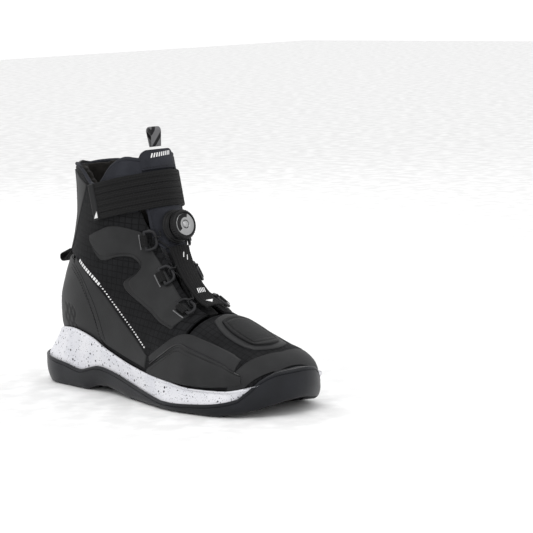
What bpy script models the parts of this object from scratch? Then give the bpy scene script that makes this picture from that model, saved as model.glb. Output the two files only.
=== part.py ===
"""Riding ankle boot, right foot, with a dial-and-lace closure and a hook-and-loop ankle strap.

+X points to the toe, +Y to the inner (medial) side, +Z up.  The sole stands on z = 0.
Lengths in this file are millimetres; meshes are written in metres.
"""

import math

import bmesh
import bpy
import numpy as np
from mathutils import Matrix, Vector
from mathutils.bvhtree import BVHTree

MM = 0.001

# Driving dimensions -------------------------------------------------------
SOLE_HALF_LENGTH = 147.5      # heel tip to toe tip is twice this
GAP = 0.35                    # clearance kept between neighbouring pieces
SHELL = 2.6                   # thickness of the upper's textile and microfibre shell
UPPER_TIP_X = 142.0           # foremost point of the upper, inside the toe bumper
TOE_START_X = 105.5           # the toe cap rounds off ahead of here
THROAT_X = 60.0               # where the vamp ends and the tongue begins
LACE_RADIUS = 0.65
STRAP_THICKNESS = 2.2
LATERAL, MEDIAL = -1, 1       # sign of y on each side
TONGUE_ROOT = Vector((56.0, 0.0, 70.0))       # the tongue bends here, above the vamp's edge
FOOTBED_TOE = Vector((128.0, 0.0, 23.5))      # the footbed lifts out from its heel about here


def remove_old_objects():
    for old in list(bpy.data.objects):
        bpy.data.objects.remove(old, do_unlink=True)


def smooth_curve(*knots):
    """A smooth function through (x, value, value, ...) knots: it never overshoots them and is
    flat beyond its ends."""
    table = np.array(knots, float)
    xs, values = table[:, 0], table[:, 1:]
    step = np.diff(xs)[:, None]
    slope = np.diff(values, axis=0) / step
    before, after = slope[:-1], slope[1:]
    same_way = before * after > 0
    total = np.where(same_way, before + after, 1.0)
    tangent = np.vstack([slope[:1], np.where(same_way, 2 * before * after / total, 0.0), slope[-1:]])

    def value_at(x):
        i = int(np.clip(np.searchsorted(xs, x) - 1, 0, len(xs) - 2))
        h = step[i, 0]
        t = float(np.clip((x - xs[i]) / h, 0.0, 1.0))
        found = ((2 * t**3 - 3 * t**2 + 1) * values[i] + (t**3 - 2 * t**2 + t) * h * tangent[i]
                 + (3 * t**2 - 2 * t**3) * values[i + 1] + (t**3 - t**2) * h * tangent[i + 1])
        return float(found[0]) if len(found) == 1 else found

    return value_at


# The sole's plan and side profiles ----------------------------------------
lateral_edge = smooth_curve((-104.5, -37.3), (-74.5, -39), (-39.5, -40), (-4.5, -44.5),
                            (25.5, -50), (55.5, -54), (80.5, -52), (100.5, -46.5))
medial_edge = smooth_curve((-104.5, 33.5), (-74.5, 33), (-39.5, 32.5), (-9.5, 36),
                           (20.5, 43), (50.5, 50), (75.5, 54), (100.5, 51.5))
HEEL_ROUND_X, TOE_ROUND_X, TOE_TIP_Y = -102.5, 83.5, 6.0

ground = smooth_curve((-147.5, 9), (-140.5, 3), (-132.5, 0), (-74.5, 0), (-66.5, 2), (-56.5, 5),
                      (-44.5, 5.5), (-29.5, 3), (-9.5, 0.5), (10, 0), (95, 0), (118, 2.5),
                      (136, 7.5), (147.5, 13))
outsole_rim = {
    LATERAL: smooth_curve((-147.5, 24.5), (-129.5, 23.5), (-99.5, 20), (-78.5, 17), (-64.5, 20),
                          (-52.5, 22.5), (-32.5, 20), (-11.5, 16), (12.5, 11.5), (47.5, 7),
                          (90.5, 9.5), (118, 14.5), (128, 23), (135, 31), (142, 36), (147.5, 37.5)),
    MEDIAL: smooth_curve((-147.5, 24.5), (-129.5, 23.5), (-99.5, 20), (-78.5, 18), (-64.5, 20),
                         (-52.5, 22.5), (-32.5, 20), (-11.5, 16), (17.5, 10.5), (53.5, 8),
                         (95.5, 9), (118, 13), (130, 18), (138, 27), (143, 34), (147.5, 37.5)),
}
midsole_rim = {
    LATERAL: smooth_curve((-147.5, 41), (-139.5, 43), (-119.5, 47), (-91.5, 50), (-74.5, 48),
                          (-59.5, 44.5), (-43.5, 38), (-12.5, 29.5), (17.5, 24.5), (46.5, 21.5),
                          (74.5, 19.5), (105.5, 20), (130, 25), (147.5, 31)),
    MEDIAL: smooth_curve((-147.5, 41), (-139.5, 43), (-119.5, 46.5), (-91.5, 48.5), (-74.5, 45.5),
                         (-39.5, 36), (-5.5, 30), (22.5, 26.5), (55.5, 24.5), (95.5, 24.5),
                         (130, 27), (147.5, 31)),
}
floor_height = smooth_curve((-147, 33), (-120, 32), (-80, 30), (-40, 25), (0, 19), (50, 15),
                            (100, 15), (147, 20))


def outline(x):
    """The sole's lateral and medial y at x, rounded at the heel and the toe."""
    inner = min(max(x, HEEL_ROUND_X), TOE_ROUND_X)
    lateral, medial = lateral_edge(inner), medial_edge(inner)
    to_toe = max(0.0, (x - TOE_ROUND_X) / (SOLE_HALF_LENGTH - TOE_ROUND_X))
    to_heel = max(0.0, (HEEL_ROUND_X - x) / (SOLE_HALF_LENGTH + HEEL_ROUND_X))
    width = (max(0.0, 1 - to_toe**2.05) ** (1 / 2.05)) * (max(0.0, 1 - to_heel**2.3) ** (1 / 2.3))
    middle = (lateral + medial) / 2
    middle += to_toe * (TOE_TIP_Y - middle)
    half = (medial - lateral) / 2 * width
    return middle - half, middle + half


def sole_stations():
    """x positions from heel to toe, closer together where the ends round off."""
    ends = [math.sin(math.radians(a)) for a in (0, 12, 25, 38, 50, 62, 74, 83)]
    heel = [HEEL_ROUND_X - (SOLE_HALF_LENGTH + HEEL_ROUND_X) * e for e in reversed(ends[1:])]
    toe = [TOE_ROUND_X + (SOLE_HALF_LENGTH - TOE_ROUND_X) * e for e in ends[1:]]
    return heel + list(np.linspace(HEEL_ROUND_X, TOE_ROUND_X, 16)) + toe


# The upper: closed sections that fan from the toe round the instep to the collar -------------
# s, front x z, back x z, lateral and medial half width, place of the widest point,
# back and front roundness
SECTIONS = [
    (0.20, 105.5, 54.5, 105.5, 14, 0, 0, 0.34, 3.2, 2.0),
    (0.26, 85.5, 62, 85.5, 13, 0, 0, 0.33, 3.2, 2.0),
    (0.32, 67.5, 69.5, 65.5, 13, 0, 0, 0.32, 3.2, 2.0),
    (0.37, 54.5, 74.5, 45.5, 13, 47, 45, 0.32, 3.2, 2.0),
    (0.42, 44.5, 79.5, 17.5, 14, 44.5, 40, 0.32, 3.2, 2.05),
    (0.47, 35.5, 87, -12.5, 17, 41, 35, 0.33, 3.2, 2.1),
    (0.52, 27, 95.5, -44.5, 22, 38, 32.5, 0.36, 3.1, 2.1),
    (0.57, 20, 104.5, -78.5, 27, 36.5, 32.5, 0.40, 2.7, 2.05),
    (0.61, 15, 112.5, -106, 30, 35.5, 33.5, 0.45, 2.4, 2.0),
    (0.65, 11, 120.5, -126, 35, 35, 34, 0.48, 2.1, 2.0),
    (0.69, 8.5, 128.5, -136, 48, 35, 35, 0.52, 1.95, 2.0),
    (0.73, 6.5, 136.5, -138, 66, 35, 35.5, 0.55, 1.85, 1.95),
    (0.77, 4.5, 145, -133, 85, 35, 36, 0.57, 1.75, 1.95),
    (0.81, 2.5, 154, -124.5, 105, 35, 36, 0.58, 1.65, 1.95),
    (0.85, 0, 163.5, -117, 126, 34.5, 36, 0.58, 1.6, 1.95),
    (0.90, -3, 175, -112.5, 147, 34, 36, 0.58, 1.58, 1.95),
    (0.95, -6.5, 188, -111.5, 169, 34, 36, 0.58, 1.58, 1.95),
    (1.00, -11, 203, -113, 193, 34.5, 36.5, 0.58, 1.6, 1.95),
    (1.05, -13.5, 214, -115, 207, 34.5, 36.5, 0.58, 1.6, 1.95),
]
SIDE_INSET = 5.0              # the upper stands this far inside the sole's outline
TOE_END_S = 0.20
TOE_FLOOR_Z = 24.0            # height of the upper's foremost point


def with_sole_width(row):
    row = list(row)
    if row[5] == 0:
        lateral, medial = outline(row[3])
        row[5], row[6] = -lateral - SIDE_INSET, medial - SIDE_INSET
    return row


section_at = smooth_curve(*[with_sole_width(row) for row in SECTIONS])


def section(s):
    """Front point, back point, half widths and roundness of the upper's section s."""
    values = section_at(max(s, TOE_END_S))
    if s >= TOE_END_S:
        return values
    k = math.cos(s / TOE_END_S * math.pi / 2)
    x = TOE_START_X + (UPPER_TIP_X - TOE_START_X) * k
    wide = (1 - k**2.05) ** (1 / 2.05)
    tall = (1 - k**2.6) ** 0.5
    middle = (values[5] - values[4]) / 2
    half = (values[5] + values[4]) / 2 * wide
    middle += (TOE_TIP_Y - middle) * k
    top = TOE_FLOOR_Z + (values[1] - TOE_FLOOR_Z - 9 * k) * tall
    return np.array([x, top, x, 14 + 6 * k, half - middle, half + middle, *values[6:]])


def upper_point(s, angle):
    """A point of the upper's outer surface.  Angle 0 is under the foot or at the back,
    half a turn is the front; the lateral side comes first."""
    xf, zf, xb, zb, lateral, medial, widest, back, front = section(s)
    c, n = math.cos(angle), math.sin(angle)
    if c > 0:
        along, power = widest * (1 - c ** (2 / back)), back
    else:
        along, power = widest + (1 - widest) * (-c) ** (2 / front), front
    side = math.copysign(abs(n) ** (2 / power), n)
    y = (medial - lateral) / 2 - side * (medial + lateral) / 2
    return Vector((xb + (xf - xb) * along, y, zb + (zf - zb) * along))


def front_point(s, y):
    """The point of section s at y from its middle, on its front half."""
    values = section(s)
    lateral, medial, power = values[4], values[5], values[8]
    share = -y / ((medial + lateral) / 2)
    bend = math.asin(min(1.0, abs(share) ** (power / 2)))
    return upper_point(s, math.pi - math.copysign(bend, share))


def upper_surface():
    """The whole outer surface, a little past the collar, as a tree that rays can be cast on."""
    rows = [0.01 + 1.04 * i / 160 for i in range(161)]
    turn = 96
    points = [upper_point(s, 2 * math.pi * j / turn) for s in rows for j in range(turn)]
    faces = []
    for i in range(len(rows) - 1):
        for j in range(turn):
            k = (j + 1) % turn
            faces.append((i * turn + j, (i + 1) * turn + j, (i + 1) * turn + k, i * turn + k))
    faces.append(tuple(range(turn)))
    return BVHTree.FromPolygons(points, faces)


SURFACE = upper_surface()
FAR = 400.0


def cast(start, direction):
    """Where a ray from outside first meets the upper, and the outward normal there."""
    direction = direction.normalized()
    hit, normal, _, _ = SURFACE.ray_cast(start - direction * FAR, direction)
    if hit is None:
        hit, normal, _, _ = SURFACE.find_nearest(start)
    if normal.dot(direction) > 0:
        normal = -normal
    return hit, normal


def flank(side, x, z):
    """The upper's lateral or medial flank at x and z."""
    return cast(Vector((x, 0, z)), Vector((0, -side, 0)))


SHAFT_AXIS = Vector((-64.0, -0.5, 0.0))


def around(angle, z):
    """The upper at a height, seen from a vertical axis inside; angle 0 is the back."""
    outward = Vector((-math.cos(angle), math.sin(angle), 0))
    return cast(Vector((SHAFT_AXIS.x, SHAFT_AXIS.y, z)), -outward)


def from_behind(y, z):
    """The back of the upper at y and z."""
    return cast(Vector((SHAFT_AXIS.x, y, z)), Vector((1, 0, 0)))


# Mesh building -------------------------------------------------------------
PARTS = None


def material(name, colour, roughness, metallic=0.0):
    made = bpy.data.materials.new(name)
    made.use_nodes = True
    shader = made.node_tree.nodes["Principled BSDF"]
    shader.inputs["Base Color"].default_value = (*colour, 1.0)
    shader.inputs["Roughness"].default_value = roughness
    shader.inputs["Metallic"].default_value = metallic
    return made


def finished(name, mesh, look, smooth=True):
    """Puts a mesh in millimetres into the collection, in metres, with its material."""
    mesh.transform(Matrix.Scale(MM, 4))
    mesh.materials.append(look)
    if smooth:
        mesh.shade_smooth()
        mesh.set_sharp_from_angle(angle=math.radians(40))
    thing = bpy.data.objects.new(name, mesh)
    PARTS.objects.link(thing)
    return thing


def mesh_from(name, points, faces):
    mesh = bpy.data.meshes.new(name)
    mesh.from_pydata([tuple(p) for p in points], [], faces)
    work = bmesh.new()
    work.from_mesh(mesh)
    bmesh.ops.remove_doubles(work, verts=work.verts, dist=0.02)
    bmesh.ops.recalc_face_normals(work, faces=work.faces)
    if work.calc_volume(signed=True) < 0:
        bmesh.ops.reverse_faces(work, faces=work.faces)
    work.to_mesh(mesh)
    work.free()
    return mesh


def panel(name, look, grid, inner, outer, closed=False):
    """A solid sheet over a grid of (point, normal) rows, between two offsets."""
    rows, columns = len(grid), len(grid[0])
    points = [p + n * outer for row in grid for p, n in row]
    points += [p + n * inner for row in grid for p, n in row]
    lower = rows * columns
    faces = []
    last = columns if closed else columns - 1
    for i in range(rows - 1):
        for j in range(last):
            k = (j + 1) % columns
            a, b, c, d = i * columns + j, i * columns + k, (i + 1) * columns + k, (i + 1) * columns + j
            faces += [(a, b, c, d), (lower + d, lower + c, lower + b, lower + a)]
    for i, direction in ((0, 1), (rows - 1, -1)):
        for j in range(last):
            k = (j + 1) % columns
            a, b = i * columns + j, i * columns + k
            faces.append((b, a, lower + a, lower + b)[::direction])
    if not closed:
        for j, direction in ((0, 1), (columns - 1, -1)):
            for i in range(rows - 1):
                a, b = i * columns + j, (i + 1) * columns + j
                faces.append((a, b, lower + b, lower + a)[::direction])
    return finished(name, mesh_from(name, points, faces), look)


def layered(name, look, rings):
    """A solid through closed rings, each half lateral and half medial, zipped shut at both ends."""
    count = len(rings[0])
    half = count // 2
    points = [p for ring in rings for p in ring]
    faces = []
    for i in range(len(rings) - 1):
        for j in range(count):
            k = (j + 1) % count
            faces.append((i * count + j, i * count + k, (i + 1) * count + k, (i + 1) * count + j))
    for ring in (0, len(rings) - 1):
        base = ring * count
        for j in range(half - 1):
            faces.append((base + j, base + j + 1, base + count - 2 - j, base + count - 1 - j))
    return finished(name, mesh_from(name, points, faces), look)


def swept(name, look, points, radius, sides, cyclic=False):
    """A round wire along points."""
    curve = bpy.data.curves.new(name, "CURVE")
    curve.dimensions = "3D"
    curve.bevel_depth = radius * MM
    curve.bevel_resolution = sides
    curve.use_fill_caps = not cyclic
    line = curve.splines.new("POLY")
    line.points.add(len(points) - 1)
    for spot, p in zip(line.points, points):
        spot.co = (*(p * MM), 1.0)
    line.use_cyclic_u = cyclic
    curve.materials.append(look)
    thing = bpy.data.objects.new(name, curve)
    PARTS.objects.link(thing)
    return thing


def ribbon(name, look, path, normals, across, width, thickness):
    """A flat band: path points, the band's face normals, its width direction and sizes."""
    grid = []
    for p, n in zip(path, normals):
        edges = [p - across * width / 2, p + across * width / 2]
        grid.append([(edge, n) for edge in edges])
    return panel(name, look, grid, -thickness / 2, thickness / 2)


def turned(name, look, profile, place, axis, segments=40):
    """A solid of revolution: (radius, height) points down its outer side, set on an axis."""
    mesh = bpy.data.meshes.new(name + "_profile")
    mesh.from_pydata([(r, 0, h) for r, h in profile], [(i, i + 1) for i in range(len(profile) - 1)], [])
    thing = bpy.data.objects.new(name, mesh)
    PARTS.objects.link(thing)
    screw = thing.modifiers.new("turn", "SCREW")
    screw.steps = screw.render_steps = segments
    screw.use_merge_vertices = True
    screw.merge_threshold = 0.0001
    mesh.materials.append(look)
    thing.rotation_mode = "QUATERNION"
    thing.rotation_quaternion = axis.to_track_quat("Z", "Y")
    thing.location = place * MM
    mesh.transform(Matrix.Scale(MM, 4))
    return thing


# Sole unit ------------------------------------------------------------------
def ring_places():
    """(x, side) of each point of a ring: lateral from heel to toe, then medial from toe to heel."""
    stations = sole_stations()
    return [(x, LATERAL) for x in stations] + [(x, MEDIAL) for x in stations[::-1]]


def outline_ring(inset, height):
    """The sole's outline moved in.  inset and height are functions of x and side, or numbers."""
    def value(given, x, side):
        return given(x, side) if callable(given) else given

    loop = [(x, outline(x)[0 if side == LATERAL else 1], side) for x, side in ring_places()]
    moved = []
    for i, (x, y, side) in enumerate(loop):
        after, before = loop[(i + 1) % len(loop)], loop[i - 1]
        along = Vector((after[0] - before[0], after[1] - before[1])).normalized()
        size = value(inset, x, side)
        moved.append(Vector((x - along.y * size, y + along.x * size, value(height, x, side))))
    return moved


def hugging_ring(clearance, height):
    """A ring that keeps a clearance outside the upper at the given height."""
    found = []
    for outer, deep in zip(outline_ring(0.0, height), outline_ring(30.0, height)):
        towards = Vector((deep.x - outer.x, deep.y - outer.y, 0)).normalized()
        hit, _ = cast(outer, towards)
        found.append(hit - towards * clearance)
    return found


def deeper(one, other):
    """Of two rings, the points that lie further in from the outline."""
    base = outline_ring(0.0, 0.0)
    return [p if (p - b).xy.length > (q - b).xy.length else q for p, q, b in zip(one, other, base)]


def build_sole(looks):
    """Rubber outsole cup and the foam midsole that stands in it."""
    wall, wall_foot = 1.8, 4.4        # inset of the cup's inner wall at its rim and at its floor

    def cup_floor(x, side):
        return ground(x) + 4.5

    def cup_rim(x, side):
        return outsole_rim[side](x) - 0.3

    def shelf(x, side):
        return min(cup_rim(x, side), midsole_rim[side](x) + 1.6)

    def bumper(ring, height):
        """The ring drawn in to the upper where the cup stands above the midsole."""
        tucked = deeper(ring, hugging_ring(2.4, height))
        return [t if cup_rim(*place) > shelf(*place) + 0.5 else Vector((r.x, r.y, cup_rim(*place)))
                for r, t, place in zip(ring, tucked, ring_places())]

    layered("outsole", looks["sole_rubber"], [
        outline_ring(9.0, cup_floor),
        outline_ring(wall_foot, cup_floor),
        outline_ring(wall, shelf),
        bumper(outline_ring(wall, shelf), shelf),
        bumper(outline_ring(wall, cup_rim), cup_rim),
        outline_ring(0.5, lambda x, side: outsole_rim[side](x)),
        outline_ring(0.0, lambda x, side: 0.45 * ground(x) + 0.55 * outsole_rim[side](x)),
        outline_ring(1.6, lambda x, side: 0.75 * ground(x) + 0.25 * outsole_rim[side](x)),
        outline_ring(4.2, lambda x, side: ground(x)),
        outline_ring(14.0, lambda x, side: ground(x)),
    ])

    def foam_edge(x, side):
        return max(cup_floor(x, side) + 2.5, min(cup_rim(x, side), midsole_rim[side](x) - 5))

    def foam_inset(x, side):
        share = (foam_edge(x, side) - cup_floor(x, side)) / (shelf(x, side) - cup_floor(x, side))
        return wall_foot + (wall - wall_foot) * min(share, 1.0) + GAP + 0.3

    def rim(rise):
        return lambda x, side: midsole_rim[side](x) + rise

    def down_to_floor(share):
        return lambda x, side: ((1 - share) * (midsole_rim[side](x) - 0.8)
                                + share * (floor_height(x) + 0.6))

    top = hugging_ring(3.4, rim(0))
    held = deeper(top, outline_ring(wall + GAP + 0.3, rim(0)))
    top = [h if cup_rim(*place) > midsole_rim[place[1]](place[0]) - 4 else p
           for p, h, place in zip(top, held, ring_places())]
    low = outline_ring(foam_inset, foam_edge)
    layered("midsole", looks["midsole_foam"], [
        outline_ring(9.2, lambda x, side: cup_floor(x, side) + GAP),
        outline_ring(wall_foot + GAP + 0.3, lambda x, side: cup_floor(x, side) + GAP),
        low,
        [a.lerp(b, 0.5) for a, b in zip(top, low)],
        top,
        hugging_ring(1.9, rim(0.5)),
        hugging_ring(1.0, rim(0.2)),
        hugging_ring(1.1, down_to_floor(0.35)),
        hugging_ring(1.4, down_to_floor(0.7)),
        hugging_ring(1.7, down_to_floor(1.0)),
        hugging_ring(-4.0, lambda x, side: floor_height(x)),
    ])


def build_inside_of_sole(looks):
    """Lasting board, steel shank and footbed, stacked on the midsole's floor."""
    def at(rise):
        return lambda x, side: floor_height(x) + rise

    layered("lasting_board", looks["board"], [
        hugging_ring(-8.5, at(GAP)),
        hugging_ring(-8.5, at(GAP + 2.0)),
    ])
    shank_foot = GAP + 2.0 + 0.9
    shank = [[(Vector((x, y, floor_height(x) + shank_foot)), Vector((0, 0, 1))) for y in (-13, -4, 5)]
             for x in np.linspace(-95, 15, 12)]
    panel("steel_shank", looks["steel"], shank, 0.0, 1.2)
    footbed_foot = shank_foot + 1.2 + 0.8
    layered("footbed", looks["footbed_foam"], [
        hugging_ring(-8.2, at(footbed_foot)),
        hugging_ring(-7.4, at(footbed_foot + 2.0)),
        hugging_ring(-7.8, at(footbed_foot + 4.0)),
    ])


# Upper ----------------------------------------------------------------------
collar_height = smooth_curve((-117, 183), (-105, 187), (-92, 188), (-77, 184), (-65, 177),
                             (-55, 171.5), (-45, 171), (-35, 177), (-24, 186), (-12, 194), (0, 199))
throat_half_width = smooth_curve((0.36, 8.5), (0.57, 8.8), (0.66, 11.5), (0.74, 16), (0.80, 20),
                                 (0.88, 23), (0.96, 23), (1.0, 20))
heel_seam = smooth_curve((-150, 111), (-100, 110), (-84, 105), (-68, 82), (-54, 55), (-42, 31),
                         (-30, 5))
BACKSTAY_FOOT_Z, BACKSTAY_TOP_Z = 112.6, 186.0
BACKSTAY_HALF_WIDTH = 17.0


def shell_foot(x):
    """Height of the shell's lower edge, which stands in the midsole's dish."""
    return floor_height(x) + 1.4


TOE_ROWS = (0.012, 0.05, 0.088, 0.11, 0.13, 0.15, 0.17)


def build_vamp(looks):
    """Toe and vamp in one shell, open below, from the toe back to the throat."""
    grid = []
    for s in TOE_ROWS + (0.21, 0.255, 0.30, 0.345):
        grid.append(toe_row(s, lambda x, side: shell_foot(x)))
    panel("vamp_shell", looks["ripstop"], grid, -SHELL, 0.0)
    puff = [toe_row(s, lambda x, side: shell_foot(x) + 9) for s in TOE_ROWS[1:]]
    panel("toe_puff", looks["stiffener"], puff, -SHELL - 1.9, -SHELL - 0.7)


def foot_angle(s, side, level):
    """The section angle at which one side of the upper rises past a level, a function of x."""
    for k in range(271):
        angle = math.pi * k / 360
        p = upper_point(s, -side * angle)
        if p.z >= level(p.x) and abs(p.y) > 0.2:
            return angle
    return math.pi * 0.75


def toe_row(s, level, columns=25):
    """Points across the toe at one section, from the lateral edge's level to the medial one's.
    level is a function of x and side."""
    ends = {side: math.pi - foot_angle(s, side, lambda x: level(x, side)) for side in (LATERAL, MEDIAL)}
    shares = [-1 + 2 * j / (columns - 1) for j in range(columns)]
    return [surface_at(s, math.pi + share * ends[LATERAL if share < 0 else MEDIAL]) for share in shares]


def surface_at(s, angle):
    """Point and outward normal of the upper at a section angle."""
    step = 1e-3
    p = upper_point(s, angle)
    along = upper_point(s + step, angle) - upper_point(max(s - step, 0.004), angle)
    around_it = upper_point(s, angle + 0.01) - upper_point(s, angle - 0.01)
    return p, around_it.cross(along).normalized()


def back_edge_x(side, z):
    """x where the flank is as wide as the backstay's half width."""
    hit, _ = from_behind(side * BACKSTAY_HALF_WIDTH, z)
    return hit.x


def throat_edge(side, margin):
    """The eyestay's edge from the throat up to the collar, as points of the side view."""
    spots = np.linspace(0.36, 1.03, 42)
    return [front_point(s, side * (throat_half_width(s) + margin)) for s in spots]


def quarter_grid(side, rows=12):
    """The flank from the backstay and heel seam forward to the vamp seam, up to the collar and
    the eyestay.  Columns are upright and close together along the steep part of the eyestay."""
    edge = throat_edge(side, GAP + 0.5)[::-1]
    edge_x, edge_z = [p.x for p in edge], [p.z for p in edge]
    back, front = -112.0, THROAT_X - 4.4
    spots = [back, -104, -95, -86, -77, -67, -56, -45, -36, -29, -24, -20, -16.5, -13, -10, -7, -4,
             -1, 3, 8, 14, 21, 29, 38, 47, front]
    grid = []
    for x in spots:
        low = max(shell_foot(x), heel_seam(x) + 1.8)
        high = min(collar_height(x), float(np.interp(x, edge_x, edge_z, left=999)))
        column = []
        for i in range(rows):
            z = low + (high - low) * i / (rows - 1)
            column.append(flank(side, back_edge_x(side, z) + 1.0 if x == back else x, z))
        grid.append(column)
    return grid


def build_quarters(looks):
    for side, word in ((LATERAL, "lateral"), (MEDIAL, "medial")):
        panel("quarter_" + word, looks["ripstop"], quarter_grid(side), -SHELL, 0.0)


def build_heel(looks):
    """Heel panel, backstay, and the stiffener moulded into the heel."""
    angles = [math.radians(a) for a in
              (-129, -118, -104, -88, -70, -52, -36, -22, -10, 0, 10, 22, 36, 52, 70, 88, 104, 118, 129)]

    def columns(top_drop, bottom_rise, rows, spread):
        grid = []
        for angle in angles:
            if abs(angle) > spread:
                continue
            z_top = 80.0
            for _ in range(12):
                hit, _ = around(angle, z_top)
                z_top = 0.5 * z_top + 0.5 * (heel_seam(hit.x) - top_drop)
            hit, _ = around(angle, 40)
            z_low = shell_foot(hit.x) + bottom_rise
            grid.append([around(angle, z_low + (z_top - z_low) * i / (rows - 1)) for i in range(rows)])
        return grid

    panel("heel_panel", looks["microfibre"], columns(1.9, 0.3, 7, math.radians(126)), -SHELL, 0.0)
    panel("heel_counter", looks["stiffener"], columns(16, 13, 7, math.radians(90)),
          -SHELL - 2.6, -SHELL - 0.9)
    grid = []
    for i in range(10):
        row = []
        for j in range(9):
            y = (BACKSTAY_HALF_WIDTH - GAP) * (-1 + j / 4)
            top = BACKSTAY_TOP_Z + 3 * (1 - abs(1 - j / 4))
            row.append(from_behind(y, BACKSTAY_FOOT_Z + (top - BACKSTAY_FOOT_Z) * i / 9))
        grid.append(row)
    panel("backstay_panel", looks["microfibre"], grid, -SHELL, 0.0)


def build_collar(looks):
    """Padded collar lining inside the shell, open at the front for the tongue."""
    grid = []
    spread = math.radians(142)
    for j in range(25):
        angle = spread * (-1 + j / 12)
        top = 190.0
        for _ in range(10):
            hit, _ = around(angle, top)
            top = 0.5 * top + 0.5 * (collar_height(hit.x) + 1.2)
        low = 134.0
        grid.append([around(angle, low + (top - low) * i / 5) for i in range(6)])
    panel("collar_padding", looks["lining"], grid, -SHELL - 7.4, -SHELL - 1.1)
    for side, word in ((LATERAL, "lateral"), (MEDIAL, "medial")):
        disc = []
        for i in range(7):
            row = []
            for j in range(7):
                u, v = -1 + i / 3, -1 + j / 3
                # a square grid pressed into a disc
                du = u * math.sqrt(1 - v * v / 2)
                dv = v * math.sqrt(1 - u * u / 2)
                row.append(flank(side, -39 + 23 * du, 104 + 24 * dv))
            disc.append(row)
        panel("ankle_guard_" + word, looks["guard_foam"], disc, -SHELL - 5.0, -SHELL - 1.9)


# Tongue, strap and closure ------------------------------------------------------
def front_patch(s_from, s_to, rows, half_width, columns=7):
    """A grid across the front between two sections."""
    grid = []
    for i in range(rows):
        s = s_from + (s_to - s_from) * i / (rows - 1)
        wide = half_width(s)
        row = []
        for j in range(columns):
            y = wide * (-1 + 2 * j / (columns - 1))
            p = front_point(s, y)
            q = front_point(s, y + 0.2)
            r = front_point(s + 0.002, y) - front_point(s - 0.002, y)
            normal = (q - p).cross(r)
            if normal.x + normal.z < 0:
                normal = -normal
            row.append((p, normal.normalized()))
        grid.append(row)
    return grid


def build_tongue(looks):
    panel("tongue_pad", looks["softshell"],
          front_patch(0.365, 1.0, 16, lambda s: throat_half_width(s) - 0.6), -7.5, -0.2)
    top = smooth_curve((0.93, 18), (1.0, 15))
    panel("tongue_top_patch", looks["softshell"], front_patch(0.955, 0.996, 4, top), 0.15, 1.6)
    shield = smooth_curve((0.66, 8), (0.70, 12), (0.76, 16), (0.82, 17))
    panel("dial_shield", looks["softshell"], front_patch(0.668, 0.805, 6, shield), 0.15, 1.9)


STRAP_AXIS = Vector((-0.22, 0.0, 0.9755)).normalized()
STRAP_FRONT = Vector((-1.0, 0.0, 171.0))
STRAP_HALF_WIDTH = 15.0


def strap_spot(angle, across):
    """A point under the ankle strap: angle round the shaft from the front, lateral positive."""
    forward = Vector((STRAP_AXIS.z, 0, -STRAP_AXIS.x))
    centre = STRAP_FRONT - forward * 52 + STRAP_AXIS * across
    outward = forward * math.cos(angle) + Vector((0, -math.sin(angle), 0))
    return cast(centre, -outward)[0]


def strap_normal(angle):
    """The strap's outward face direction at an angle."""
    along = strap_spot(angle + 0.06, 0.0) - strap_spot(angle - 0.06, 0.0)
    n = along.cross(STRAP_AXIS).normalized()
    return n if n.dot(strap_spot(angle, 0.0) - STRAP_FRONT + Vector((50, 0, 0))) > 0 else -n


def strap_joint(degrees):
    """A point just off the strap's outer face, where one stretch folds outward on the next."""
    angle = math.radians(degrees)
    return strap_spot(angle, 0.0) + strap_normal(angle) * (strap_lift(degrees) + STRAP_THICKNESS + 0.2)


def strap_piece(name, look, start, end, inner, outer, steps, half=STRAP_HALF_WIDTH):
    """A stretch of the strap between two angles, straight across its width."""
    grid = []
    for i in range(steps):
        degrees = start + (end - start) * i / (steps - 1)
        angle, lift = math.radians(degrees), strap_lift(degrees)
        n = strap_normal(angle)
        edges = [strap_spot(angle, across) for across in (-half, 0.0, half)]
        reach = max((p - STRAP_FRONT).dot(n) for p in edges)
        grid.append([(p + n * (lift + min(2.5, reach - (p - STRAP_FRONT).dot(n))), n) for p in edges])
    return panel(name, look, grid, inner, outer)


STRAP_BASE_ANGLES = (-63.0, -47.5)
STRAP_HINGE_ANGLE = -47.0
STRAP_FOLD_ANGLE = 38.0
STRAP_END_ANGLE = 92.0
strap_lift = smooth_curve((-63, 0.7), (-46, 0.7), (15, 0.8), (34, 2.1))


def build_strap(looks):
    """The ankle strap, sewn on the medial side and pressed onto hooks on the lateral side."""
    def stretch(name, look, start, end, steps):
        strap_piece(name, looks[look], start, end, 0.0, STRAP_THICKNESS, steps)

    stretch("strap_base", "webbing", *STRAP_BASE_ANGLES, 5)
    stretch("strap_front", "webbing", STRAP_HINGE_ANGLE + 0.5, STRAP_FOLD_ANGLE - 0.5, 19)
    stretch("strap_end", "webbing", STRAP_FOLD_ANGLE + 0.5, STRAP_END_ANGLE - 12, 8)
    stretch("strap_tab", "gloss_black", STRAP_END_ANGLE - 11.4, STRAP_END_ANGLE, 4)
    strap_piece("loop_patch", looks["hook_and_loop"], STRAP_FOLD_ANGLE + 6.5, STRAP_END_ANGLE - 12,
                -1.7, -0.6, 7, 13.0)


DIAL_S = 0.742


def dial_frame():
    """The dial's seat on the tongue and its axis, square to the tongue."""
    grid = front_patch(DIAL_S, DIAL_S + 0.002, 2, lambda s: 6.0, 3)
    return grid[0][1]


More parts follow.
